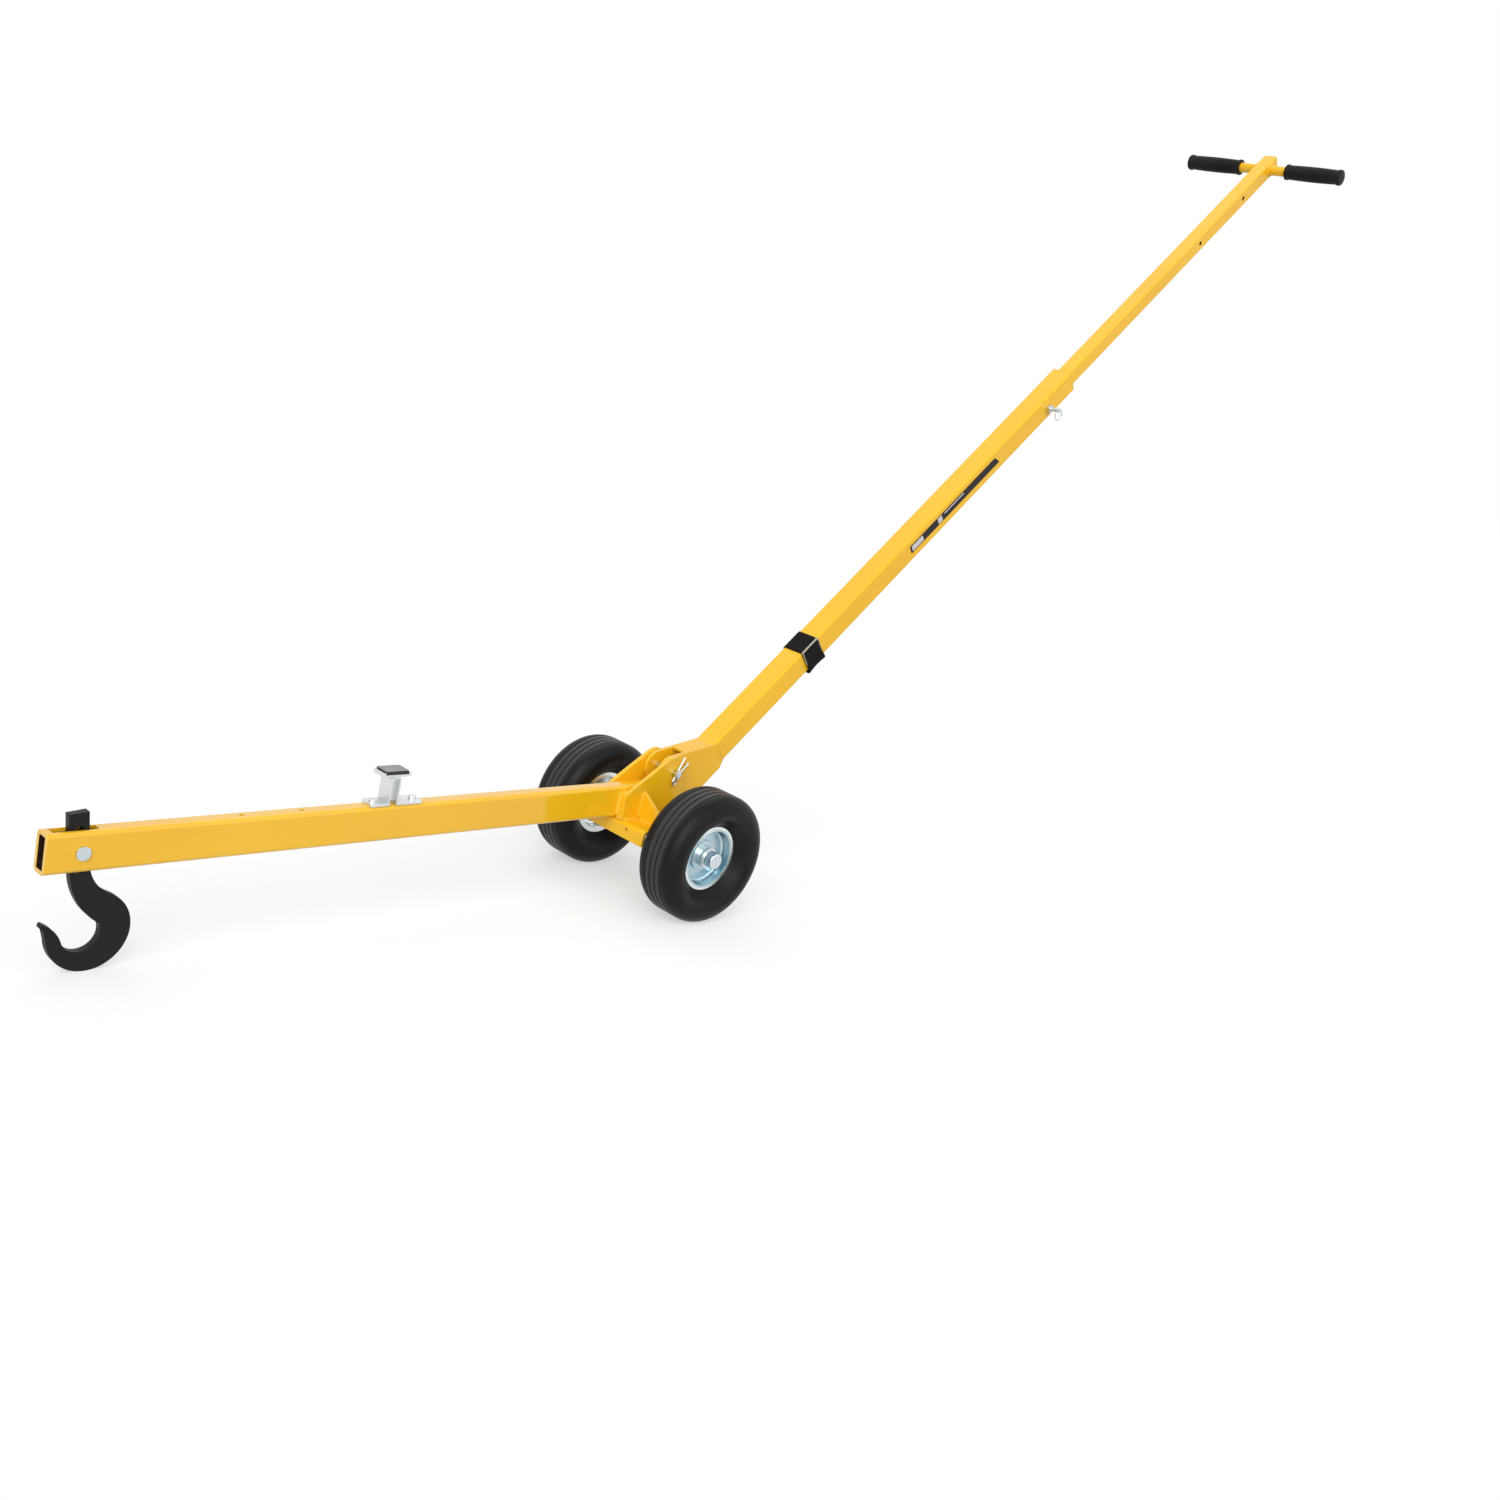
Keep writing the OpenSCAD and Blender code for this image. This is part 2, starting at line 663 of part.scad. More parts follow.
// Direction from the shoulder's centre to where the straight side wall runs into it
function flank_turn() = let (
    across = wheel_r - shoulder_r - lip_r - seat_gap,
    out = tyre_w/2 - shoulder_r - bead_half
) 90 + atan2(out, across) + asin(shoulder_r/norm([across, out]));

function side_wall() = concat(
    [[rim_r + seat_gap, rim_w/2], [lip_r + seat_gap, rim_w/2], [lip_r + seat_gap, bead_half]],
    arc([wheel_r - shoulder_r, tyre_w/2 - shoulder_r], shoulder_r, flank_turn(), 0, 24)
);

function far_side(points) = [for (k = [len(points) - 1 : -1 : 0]) [points[k][0], -points[k][1]]];

module tyre_section() difference() {
    polygon(concat(side_wall(), far_side(side_wall())));
    for (k = [0 : groove_count - 1])
        translate([wheel_r - groove_d, (k - (groove_count - 1)/2)*groove_pitch - groove_w/2])
            square([2*groove_d, groove_w]);
}

// Half a pressed rim: disc at the tyre's middle, barrel under the tyre and a lip beside it
module rim_half_section() {
    barrel_in = rim_r - rim_t;
    fold_r = rim_t*2;
    translate([boss_r, 0]) square([barrel_in - fold_r - boss_r, rim_t]);
    translate([barrel_in, fold_r + rim_t]) square([rim_t, rim_w/2 - fold_r - rim_t]);
    translate([barrel_in - fold_r, fold_r + rim_t]) rim_fold(fold_r);
    translate([rim_r - rim_t, rim_w/2]) square([lip_h + rim_t, rim_t]);
    translate([hub_d/2 + seat_gap, boss_h]) square([boss_r - rim_t - hub_d/2 - seat_gap, rim_t]);
    translate([boss_r - rim_t, 0]) square([rim_t, boss_h + rim_t]);
}

// The rounded corner between disc and barrel
module rim_fold(r) intersection() {
    difference() {
        circle(r = r + rim_t);
        circle(r = r);
    }
    translate([0, -2*r]) square(2*r);
}

module hub_section() translate([hub_d/2 - hub_wall(), -hub_in])
    square([hub_wall(), hub_in + hub_out]);

function hub_wall() = (hub_d - axle_d)/2 - bush_t - run_gap - seat_gap;

module bush_sections() for (y = [-hub_in, hub_out - bush_len])
    translate([axle_d/2 + run_gap, y]) square([bush_t, bush_len]);

module tyre(side) color(RUBBER) wheel_part(side) tyre_section();
module rim_outer(side) color(ZINC) wheel_part(side) rim_half_section();
module rim_inner(side) color(ZINC) wheel_part(side) mirror([0, 1]) rim_half_section();
module hub(side) color(ZINC) wheel_part(side) hub_section();
module bushes(side) color(NYLON) wheel_part(side) bush_sections();

module tyre_left() tyre(-1);
module rim_outer_left() rim_outer(-1);
module rim_inner_left() rim_inner(-1);
module hub_left() hub(-1);
module bushes_left() bushes(-1);
module tyre_right() tyre(1);
module rim_outer_right() rim_outer(1);
module rim_inner_right() rim_inner(1);
module hub_right() hub(1);
module bushes_right() bushes(1);

// Pivot pin with its head on the right, held by a clip on the left
module pivot_pin() color(ZINC) placed() at_point(pivot) difference() {
    union() {
        cross_bar(pivot_d, -cheek_out - pivot_tail, cheek_out);
        cross_bar(pivot_head_d, cheek_out, cheek_out + pivot_head_t);
    }
    translate([0, -cheek_out - pivot_tail/2, 0]) rotate([0, clip_lean, 0]) clip_hole(pivot_d);
}

// Lean of the clip's legs, backwards at the top
clip_lean = 24;

module pivot_clip() color(ZINC) placed() at_point(pivot)
    translate([0, -cheek_out - pivot_tail/2, 0]) rotate([0, clip_lean, 0]) spring_clip(pivot_d);

module pivot_washers() color(ZINC) placed() at_point(pivot) both_sides()
    ring_bar(knee_washer_d, pivot_d + 2*seat_gap, knee_out + side_gap/2, cheek_in - side_gap/2);

// Knee: two plates that carry the handle tube on the pivot and stand on the base
tongue_half = tube_w/2 - tube_corner;
lug_top_turn = 11.5;
lug_front_turn = 30;
knee_heel = 13;
knee_brow = 4;
foot_z = base_top + clear_gap;
knee_low = -tube_w/2 - knee_drop;
foot_rear_s = (foot_z - on_side(0, knee_low)[1])/sin(handle_angle);
knee_top_start = pivot + lug_r*out(lug_top_turn);
knee_top_end = on_side(tube_start - seat_gap, tube_w/2 - knee_brow);

module knee_plate(side) side_plate(side*knee_mid, knee_t) difference() {
    union() {
        translate(pivot) circle(r = lug_r);
        polygon([pivot - lug_r*[cos(lug_front_turn), sin(lug_front_turn)], [foot_front, foot_z],
            on_side(foot_rear_s, knee_low), on_side(tube_start - knee_heel, knee_low),
            on_side(tube_start - seat_gap, -tube_w/2), on_side(tube_start - seat_gap, -tongue_half),
            on_side(tube_start + tongue_len, -tongue_half),
            on_side(tube_start + tongue_len, tongue_half),
            on_side(tube_start - seat_gap, tongue_half),
            knee_top_end, knee_top_start, pivot]);
    }
    translate(pivot) circle(d = pivot_d + 2*run_gap);
}

module knee_plate_left() color(YELLOW) placed() knee_plate(-1);
module knee_plate_right() color(YELLOW) placed() knee_plate(1);

// Web between the knee plates, under their top edge
module knee_web() color(YELLOW) placed() {
    run = knee_top_end - knee_top_start;
    dir = run/norm(run);
    down = [dir[1], -dir[0]];
    side_plate(0, 2*(knee_out - knee_t)) polygon([knee_top_end, knee_top_end - web_len*dir,
        knee_top_end - web_len*dir + web_t*down, knee_top_end + web_t*down]);
}

// Handle tube and what is fixed to it
module handle_tube() color(YELLOW) placed() difference() {
    on_handle(tube_start) along_x(0, tube_len) tube_section(tube_w, tube_w, tube_corner, tube_wall);
    on_handle(lock_at) cross_bar(lock_d + 2*clear_gap, -tube_w, 0);
}

module mouth_bush() color(YELLOW) placed() on_handle(tube_end) difference() {
    union() {
        along_x(-mouth_len, mouth_len)
            round_rect(tube_in - 2*seat_gap, tube_in - 2*seat_gap, tube_corner - tube_wall);
        along_x(0, mouth_collar) round_rect(tube_w, tube_w, tube_corner);
    }
    along_x(-mouth_len - cut, mouth_len + mouth_collar + 2*cut)
        round_rect(slide_w + 2*slide_gap, slide_w + 2*slide_gap, slide_corner);
}

module lock_sleeve() color(ZINC) placed() on_handle(lock_at)
    ring_bar(lock_sleeve_d, lock_d + 2*run_gap, -tube_w/2 - lock_sleeve_len, -tube_w/2);

module strap() color(BLACK) placed() on_handle(tube_start + strap_at) along_x(0, strap_w)
    tube_section(tube_w + 2*(strap_t + clear_gap), tube_w + 2*(strap_t + clear_gap),
        tube_corner + strap_t + clear_gap, strap_t);

// Lock pin, drawn back, and its pull ring
lock_tip = -slide_w/2 - clear_gap;
lock_end = 4;
lock_eye = -tube_w/2 - lock_sleeve_len - lock_tail + lock_end;
ring_play = 0.4;

module lock_pin() color(ZINC) placed() on_handle(lock_at) difference() {
    cross_bar(lock_d, lock_eye - lock_end, lock_tip);
    translate([0, lock_eye, 0]) rotate([0, 90, 0])
        cylinder(d = 2*ring_d + ring_play, h = 2*lock_d, center = true);
}

module lock_ring() color(ZINC) placed() on_handle(lock_at)
    translate([0, lock_eye, -ring_r + ring_play]) rotate([90, 0, 0]) rotate_extrude()
        translate([ring_r, 0]) circle(d = ring_d);

// Sliding tube, its grip bar and what is fixed to them
module slide_tube() color(YELLOW) placed() difference() {
    on_handle(slide_start) along_x(0, slide_end - slide_start)
        tube_section(slide_w, slide_w, slide_corner, slide_wall);
    for (s = [0, slide_travel - slide_step, slide_travel]) on_handle(lock_at + s)
        cross_bar(lock_d + 2*clear_gap, -slide_w, 0);
    on_handle(bar_at) cross_bar(bar_d + 2*seat_gap, -slide_w, slide_w);
}

module tail_bush() color(NYLON) placed() on_handle(slide_start) along_x(0, tail_len)
    tube_section(tube_in - 2*slide_gap, tube_in - 2*slide_gap, tube_corner - tube_wall,
        (tube_in - slide_w)/2 - slide_gap - seat_gap);

module end_cap() color(YELLOW) placed() on_handle(slide_end) {
    along_x(0, cap_t) round_rect(slide_w, slide_w, slide_corner);
    along_x(-cap_plug, cap_plug) round_rect(slide_inner - 2*seat_gap, slide_inner - 2*seat_gap,
        max(slide_corner - slide_wall, least_r));
}

module grip_bar() color(YELLOW) placed() on_handle(bar_at)
    ring_bar(bar_d, bar_d - 2*bar_wall, -bar_len/2, bar_len/2);

// Grip: a sleeve with a closed end, an end rim and a rim beside the fingers
grip_rim_h = 1.5;
grip_rim_w = 5;
grip_step = 1;
grip_tip_h = 4;
grip_rim_in = 8;

module grip() rotate([-90, 0, 0]) rotate_extrude() difference() {
    union() {
        translate([0, bar_len/2 - grip_len])
            square([grip_d/2 - grip_rim_h, grip_len + grip_end - grip_step]);
        square([grip_d/2 - grip_tip_h, bar_len/2 + grip_end]);
        for (y = [bar_len/2 - grip_len, bar_len/2 + grip_end - grip_rim_in])
            translate([0, y]) square([grip_d/2, grip_rim_w]);
    }
    translate([0, -cut]) square([bar_d/2 + seat_gap, bar_len/2 + cut]);
    translate([0, -cut]) square([grip_d, bar_len/2 - grip_len + cut]);
}

module grip_left() color(BLACK) placed() on_handle(bar_at) mirror([0, 1, 0]) grip();
module grip_right() color(BLACK) placed() on_handle(bar_at) grip();

boom_tube();
hook_pin();
hook_pin_clip();
hook_spacers();
hook();
rest_foot();
rest_post();
rest_saddle();
rest_pad();
rest_screws();
base_channel();
cheek_left();
cheek_right();
cheek_packers();
gusset_left();
gusset_right();
axle_hangers();
axle();
axle_spacers();
axle_washers();
axle_caps();
tyre_left();
rim_outer_left();
rim_inner_left();
hub_left();
bushes_left();
tyre_right();
rim_outer_right();
rim_inner_right();
hub_right();
bushes_right();
pivot_pin();
pivot_clip();
pivot_washers();
knee_plate_left();
knee_plate_right();
knee_web();
handle_tube();
mouth_bush();
lock_sleeve();
strap();
lock_pin();
lock_ring();
slide_tube();
tail_bush();
end_cap();
grip_bar();
grip_left();
grip_right();
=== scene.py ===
"""Studio scene of a wheeled lever lifter: finishes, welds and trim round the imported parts."""

import json
import math

import bmesh
import bpy
from bpy.props import FloatProperty, FloatVectorProperty, IntProperty, PointerProperty
from mathutils import Matrix, Vector


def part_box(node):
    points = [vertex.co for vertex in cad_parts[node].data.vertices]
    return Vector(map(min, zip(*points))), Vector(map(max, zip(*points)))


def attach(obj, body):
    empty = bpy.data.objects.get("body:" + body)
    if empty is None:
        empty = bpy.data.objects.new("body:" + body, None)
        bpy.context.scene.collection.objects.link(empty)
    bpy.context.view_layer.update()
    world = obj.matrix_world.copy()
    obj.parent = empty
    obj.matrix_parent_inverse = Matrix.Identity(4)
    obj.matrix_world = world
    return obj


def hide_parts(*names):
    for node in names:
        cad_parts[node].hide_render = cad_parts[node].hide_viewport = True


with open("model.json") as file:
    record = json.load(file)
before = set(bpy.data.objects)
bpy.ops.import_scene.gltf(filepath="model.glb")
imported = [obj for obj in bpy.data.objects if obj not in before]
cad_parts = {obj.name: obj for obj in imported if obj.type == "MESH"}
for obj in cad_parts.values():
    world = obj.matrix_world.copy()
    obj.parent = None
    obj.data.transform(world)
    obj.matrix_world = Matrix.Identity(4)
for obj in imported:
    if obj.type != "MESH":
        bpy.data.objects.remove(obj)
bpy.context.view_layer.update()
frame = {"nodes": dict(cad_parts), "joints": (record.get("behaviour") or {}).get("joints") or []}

bl_info = {
    "name": "Wheeled Lever Lifter",
    "version": (1, 0, 0),
    "blender": (4, 5, 0),
    "location": "3D View > Sidebar > Lifter",
    "description": "Dresses the packed lever lifter with finishes, welds and trim",
    "category": "Object",
}

JOINTS = {joint["name"]: joint for joint in frame["joints"]}
PIVOT = Vector(JOINTS["handle_fold"]["pos_m"])

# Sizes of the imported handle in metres. It stands askew, so its nodes' boxes don't give them.
TUBE_DROP = 0.048  # from the pivot pin square down to the tube's middle
TUBE_HALF = 0.020
TUBE_CORNER = 0.004
TUBE_FOOT = 0.095  # up the handle from the pivot pin, as LOCK_UP
KNEE_OVER = 0.0216  # knee plates' upper edge over the tube's middle
LOCK_UP = 1.025
LOCK_RADIUS = 0.0068
SLIDE_HALF = 0.014

# The handle's own frame: X up the tube, Y across, Z out of the tube's upper side.
HANDLE_UP = Vector(JOINTS["handle_extend"]["axis"]).normalized()
HANDLE_OUT = HANDLE_UP.cross(Vector((0, 1, 0)))
HANDLE = Matrix(
    (
        (HANDLE_UP.x, 0, HANDLE_OUT.x, PIVOT.x - TUBE_DROP * HANDLE_OUT.x),
        (0, 1, 0, 0),
        (HANDLE_UP.z, 0, HANDLE_OUT.z, PIVOT.z - TUBE_DROP * HANDLE_OUT.z),
        (0, 0, 0, 1),
    )
)
# Turns a shape that is drawn out along Z so that it runs up the handle.
Z_UP_HANDLE = HANDLE @ Matrix(((0, 0, 1, 0), (1, 0, 0, 0), (0, 1, 0, 0), (0, 0, 0, 1)))

YELLOW_NODES = (
    "base_channel cheek_left cheek_right cheek_packers gusset_left gusset_right "
    "axle_hangers knee_plate_left knee_plate_right knee_web handle_tube slide_tube grip_bar"
).split()
YELLOW_PLUGS = "mouth_bush end_cap".split()
ZINC_NODES = (
    "hook_spacers rest_foot rest_post rest_saddle rest_screws axle axle_spacers axle_washers "
    "pivot_washers"
).split()
PIN_NODES = (
    "hook_pin hook_pin_clip axle_caps pivot_pin pivot_clip lock_sleeve lock_pin lock_ring"
).split()
RIM_NODES = (
    "rim_outer_left rim_inner_left hub_left rim_outer_right rim_inner_right hub_right"
).split()
TYRE_NODES = "tyre_left tyre_right".split()
NYLON_NODES = "bushes_left bushes_right tail_bush".split()


def colour(title, about, value):
    """A colour setting in linear red, green, blue and alpha."""
    return FloatVectorProperty(
        name=title, description=about, subtype="COLOR", size=4, min=0, max=1, default=(*value, 1)
    )


def length(title, about, value):
    """A length setting in metres."""
    return FloatProperty(name=title, description=about, unit="LENGTH", min=0, default=value)


def strength(title, about, value):
    """A light's strength."""
    return FloatProperty(name=title, description=about, min=0, default=value)


class LifterFinishes(bpy.types.PropertyGroup):
    """Colours of the paint, plating, rubber and cloth."""

    yellow: colour("Yellow paint", "Gloss powder coat of frame and handle", (0.93, 0.53, 0.010))
    yellow_deep: colour("Yellow shade", "Where the coat lies thicker", (0.90, 0.48, 0.008))
    # Painted highlight: pale yellow laid along the edges, where the light catches them.
    yellow_edge_highlight: colour("Yellow edge", "Where the coat thins over an edge", (1.0, 0.72, 0.16))
    # Uncoated steel inside the boom, painted much darker with the shade that fills the tube.
    hollow_shade: colour("Hollow", "Uncoated inside of the boom", (0.032, 0.016, 0.010))
    bare_steel: colour("Bare steel", "Steel under chipped paint", (0.20, 0.19, 0.18))
    black: colour("Black paint", "Satin paint of the hook", (0.005, 0.005, 0.0054))
    zinc_pale: colour("Pale zinc", "Bright patches of the plating", (0.76, 0.79, 0.79))
    zinc_grey: colour("Grey zinc", "Duller patches on the rest", (0.68, 0.70, 0.69))
    pin_pale: colour("Pin zinc", "Plating of pins, clips and caps", (0.62, 0.69, 0.73))
    pin_grey: colour("Pin shade", "Duller patches on pins", (0.52, 0.59, 0.62))
    zinc_blue: colour("Blue zinc", "Passivated patches on the rims", (0.40, 0.54, 0.60))
    rubber: colour("Rubber", "Tyres, pad and grips", (0.0045, 0.0045, 0.005))
    rubber_dust: colour("Rubber bloom", "Dusty patches on rubber", (0.013, 0.013, 0.0135))
    # The tyres' running band is coloured lighter than the sidewalls.
    tread: colour("Tread", "Scuffed running band of the tyres", (0.042, 0.042, 0.043))
    # Dust and painted sheen: the pad's upward faces are lightened as if lit from above.
    pad_dust_and_sheen: colour("Worn pad", "Dusty top of the rest's pad", (0.24, 0.24, 0.24))
    nylon: colour("Nylon", "Bushes", (0.025, 0.025, 0.027))
    webbing: colour("Webbing", "Loop strap", (0.004, 0.004, 0.0045))
    # Painted highlight: pale lines at the strap's end stand in for bright edge reflections.
    webbing_edge_highlight: colour("Selvedge", "Edge threads at the strap's end", (0.60, 0.56, 0.47))
    film: colour("Film", "Dark marking strip", (0.016, 0.012, 0.010))
    film_pale: colour("Pale film", "Plain blocks on the strip", (0.58, 0.55, 0.54))


class LifterTrim(bpy.types.PropertyGroup):
    """Sizes of the trim that is modelled here."""

    # The wall also bounds the painted shade inside the boom.
    boom_wall: length("Boom wall", "Wall of the boom, coated on the outside only", 0.005)
    weld_leg: length("Weld leg", "Half width of a weld run", 0.0032)
    weld_pitch: length("Weld ripple", "Distance between ripples", 0.0034)
    strap_wide: length("Strap width", "Width of the webbing", 0.040)
    strap_thick: length("Strap thickness", "Thickness of the webbing", 0.0016)
    strap_lap: length("Strap lap", "Length that lies over the first turn", 0.0365)
    strap_slack: length("Strap slack", "How far the lap stands off the lower corner", 0.0032)
    strap_foot: length("Strap place", "Strap's lower edge up the handle", 0.312)
    label_foot: length("Strip foot", "Lower end of the marking strip up the handle", 0.607)
    label_head: length("Strip head", "Upper end of the marking strip", 0.871)
    label_wide: length("Strip width", "Width of the marking strip", 0.0145)
    # Painted highlight: a pale band on the rims' lip, standing in for its bright reflection.
    rim_lip_highlight: length("Rim lip", "Width of the rims' rubbed lip", 0.0032)
    tread_half: length("Tread half width", "Half width of the tyres' running band", 0.0185)
    grip_ribs: IntProperty(name="Grip ribs", description="Rings on each grip", min=4, default=22)
    rib_depth: length("Rib depth", "Depth of the grip's rings", 0.0009)


class LifterStage(bpy.types.PropertyGroup):
    """Floor, lamps and camera."""

    floor: colour("Floor", "Pale studio floor", (0.52, 0.52, 0.52))
    floor_lift: strength("Floor lift", "Glow that turns the lit floor white", 0.50)
    sky: strength("Sky", "Light from all round", 0.42)
    key: strength("Key lamp", "Soft main light from the boom's end", 2.1)
    fill: strength("Fill lamp", "Soft light from the right", 0.5)
    top: strength("Top lamp", "Soft light from above and behind", 0.45)
    lens: FloatProperty(
        name="Lens", description="Focal length", unit="CAMERA", min=1, default=37.316
    )


class Nodes:
    """A node tree; each method adds nodes and gives back a socket."""

    def __init__(self, tree):
        self.tree = tree

    def feed(self, socket, value):
        if isinstance(value, bpy.types.NodeSocket):
            self.tree.links.new(value, socket)
        else:
            socket.default_value = value

    def node(self, kind, inputs=None, **settings):
        made = self.tree.nodes.new("ShaderNode" + kind)
        for name, value in settings.items():
            setattr(made, name, value)
        for name, value in (inputs or {}).items():
            self.feed(made.inputs[name], value)
        return made

    def maths(self, operation, first, second=0.0):
        return self.node("Math", {0: first, 1: second}, operation=operation).outputs[0]

    def vectors(self, operation, first, second=(0, 0, 0)):
        made = self.node("VectorMath", {0: first, 1: second}, operation=operation)
        return made.outputs["Value" if operation in ("DOT_PRODUCT", "DISTANCE") else "Vector"]

    def axes(self, vector):
        return self.node("SeparateXYZ", {"Vector": vector}).outputs

    def span(self, value, low, high, to_low=0.0, to_high=1.0):
        inputs = {
            "Value": value,
            "From Min": low,
            "From Max": high,
            "To Min": to_low,
            "To Max": to_high,
        }
        return self.node("MapRange", inputs).outputs["Result"]

    def shown(self):
        """1 for rays from the camera, a mirror or clear glass, and else 0."""
        ray = self.node("LightPath").outputs
        seen = self.maths("MAXIMUM", ray["Is Camera Ray"], ray["Is Glossy Ray"])
        return self.maths("MAXIMUM", seen, ray["Is Transmission Ray"])


class Finish(Nodes):
    """A procedural material on Object coordinates."""

    def __init__(self, name, **sockets):
        self.material = bpy.data.materials.new(name)
        self.material.use_nodes = True
        super().__init__(self.material.node_tree)
        self.shader = self.tree.nodes["Principled BSDF"]
        self.use(**sockets)
        self.place = self.node("TexCoord").outputs["Object"]

    def use(self, **sockets):
        for socket, value in sockets.items():
            self.feed(self.shader.inputs[socket.replace("_", " ")], value)

    def noise(self, scale, detail=2.0, rough=0.5):
        inputs = {"Vector": self.place, "Scale": scale, "Detail": detail, "Roughness": rough}
        return self.node("TexNoise", inputs).outputs["Fac"]

    def cloudy(self, scale, detail, to_low, to_high):
        """A value that drifts between two ends in soft patches."""
        return self.span(self.noise(scale, detail), 0.3, 0.7, to_low, to_high)

    def blend(self, share, first, second):
        inputs = {0: share, 6: first, 7: second}
        return self.node("Mix", inputs, data_type="RGBA").outputs[2]

    def bump(self, height, strength, depth, normal=None):
        inputs = {"Height": height, "Strength": strength, "Distance": depth}
        if normal:
            inputs["Normal"] = normal
        return self.node("Bump", inputs).outputs["Normal"]

    def rounded(self, radius):
        return self.node("Bevel", {"Radius": radius}, samples=6).outputs["Normal"]

    def edges(self, rounded):
        """1 along the sharp edges and 0 on the flats."""
        flat = self.node("NewGeometry").outputs["Normal"]
        return self.span(self.vectors("DOT_PRODUCT", rounded, flat), 1.0, 0.90)


def gloss_paint(name, tones, gloss=0.5, hollow_shade=None):
    """Powder coat with an orange-peel skin, a painted highlight along the edges, chipped in a
    few spots.
    """
    paint = Finish(name, Coat_Weight=gloss, Coat_Roughness=0.08, Specular_IOR_Level=0.10)
    rounded = paint.rounded(0.0016)
    edge = paint.edges(rounded)
    tone = paint.span(paint.noise(5.0, 4.0), 0.35, 0.75)
    body = paint.blend(tone, tones.yellow, tones.yellow_deep)
    # Painted highlight: the edges are lightened towards a pale yellow.
    body = paint.blend(paint.maths("MULTIPLY", edge, 0.6), body, tones.yellow_edge_highlight)
    chips = paint.span(paint.noise(95.0, 4.0, 0.65), 0.66, 0.69)
    body = paint.blend(paint.maths("MULTIPLY", edge, chips), body, tones.bare_steel)
    # Inside the boom the colour turns dark: uncoated steel with painted shade.
    if hollow_shade:
        middle, room = hollow_shade
        off = paint.vectors("ABSOLUTE", paint.vectors("SUBTRACT", paint.place, middle))
        past = paint.axes(paint.vectors("SUBTRACT", off, room))
        outside = paint.maths("MAXIMUM", past["X"], past["Y"])
        outside = paint.maths("MAXIMUM", outside, past["Z"])
        body = paint.blend(paint.span(outside, 0.0, -0.0002), body, tones.hollow_shade)
    peel = paint.noise(300.0, 1.0)
    paint.use(
        Base_Color=body,
        Roughness=paint.cloudy(38.0, 3.0, 0.24, 0.36),
        Normal=paint.bump(peel, 0.015, 0.0006, rounded),
    )
    return paint.material


def zinc_finish(name, pale, dull, wheel=None):
    """Zinc plate with cloudy passivation and a faint spangle; a rim's lip carries a painted
    highlight.
    """
    zinc = Finish(name, Metallic=1.0)
    cloud = zinc.span(zinc.noise(13.0, 2.5), 0.38, 0.60)
    spangle = zinc.noise(90.0)
    if wheel:
        axle, lip = wheel
        level = zinc.vectors("MULTIPLY", zinc.place, (1, 0, 1))
        # Painted highlight: the rim's lip turns pale.
        lip_highlight = zinc.span(zinc.vectors("DISTANCE", level, axle), lip - 0.0015, lip)
        cloud = zinc.maths("MAXIMUM", cloud, lip_highlight)
    zinc.use(
        Base_Color=zinc.blend(cloud, dull, pale),
        Roughness=zinc.cloudy(40.0, 3.0, 0.14, 0.26),
        Normal=zinc.bump(spangle, 0.05, 0.0004, zinc.rounded(0.0006)),
    )
    return zinc.material


def rubber_finish(name, tones, rough, band=None, top=None, shine=0.16):
    """Moulded rubber with grain and bloom; a tyre's running band is lighter, and a pad's top
    carries dust and painted sheen.
    """
    rubber = Finish(name, Specular_IOR_Level=shine)
    rounded = rubber.rounded(0.0012)
    patch = rubber.span(rubber.noise(11.0, 5.0, 0.6), 0.45, 0.8)
    grain = rubber.noise(650.0, 3.0, 0.6)
    body = rubber.blend(patch, tones.rubber, tones.rubber_dust)
    # The running band across the tread is coloured lighter.
    if band:
        middle, half, band_tone = band
        across = rubber.maths("ABSOLUTE", rubber.axes(rubber.place)["Y"])
        off = rubber.maths("ABSOLUTE", rubber.maths("SUBTRACT", across, middle))
        body = rubber.blend(rubber.span(off, half, half - 0.0015), body, band_tone)
    # Upward faces turn grey: partly dust, partly painted sheen from the light above.
    if top:
        level = rubber.span(rubber.axes(rounded)["Z"], 0.80, 0.97)
        dust_and_sheen_patches = rubber.cloudy(60.0, 4.0, 0.7, 1.0)
        body = rubber.blend(rubber.maths("MULTIPLY", level, dust_and_sheen_patches), body, top)
    rubber.use(
        Base_Color=body,
        Roughness=rubber.cloudy(24.0, 3.0, *rough),
        Normal=rubber.bump(grain, 0.16, 0.0004, rounded),
    )
    return rubber.material


def satin_paint(name, main, steel):
    """Satin black on flame-cut plate, rubbed bare along some edges."""
    paint = Finish(name, Specular_IOR_Level=0.22)
    rounded = paint.rounded(0.0012)
    rub = paint.span(paint.noise(45.0, 5.0, 0.7), 0.60, 0.66)
    worn = paint.maths("MULTIPLY", paint.edges(rounded), rub)
    scale = paint.noise(180.0, 4.0, 0.6)
    paint.use(
        Base_Color=paint.blend(worn, main, steel),
        Roughness=paint.cloudy(30.0, 4.0, 0.40, 0.56),
        Normal=paint.bump(scale, 0.12, 0.0005, rounded),
    )
    return paint.material


def moulded_finish(name, main, shade):
    """Moulded plastic with a faint spark-eroded skin."""
    plastic = Finish(name, Specular_IOR_Level=0.45)
    skin = plastic.noise(800.0)
    plastic.use(
        Base_Color=plastic.blend(plastic.span(plastic.noise(20.0, 3.0), 0.4, 0.7), main, shade),
        Roughness=plastic.cloudy(50.0, 2.0, 0.38, 0.48),
        Normal=plastic.bump(skin, 0.08, 0.0003, plastic.rounded(0.0008)),
    )
    return plastic.material


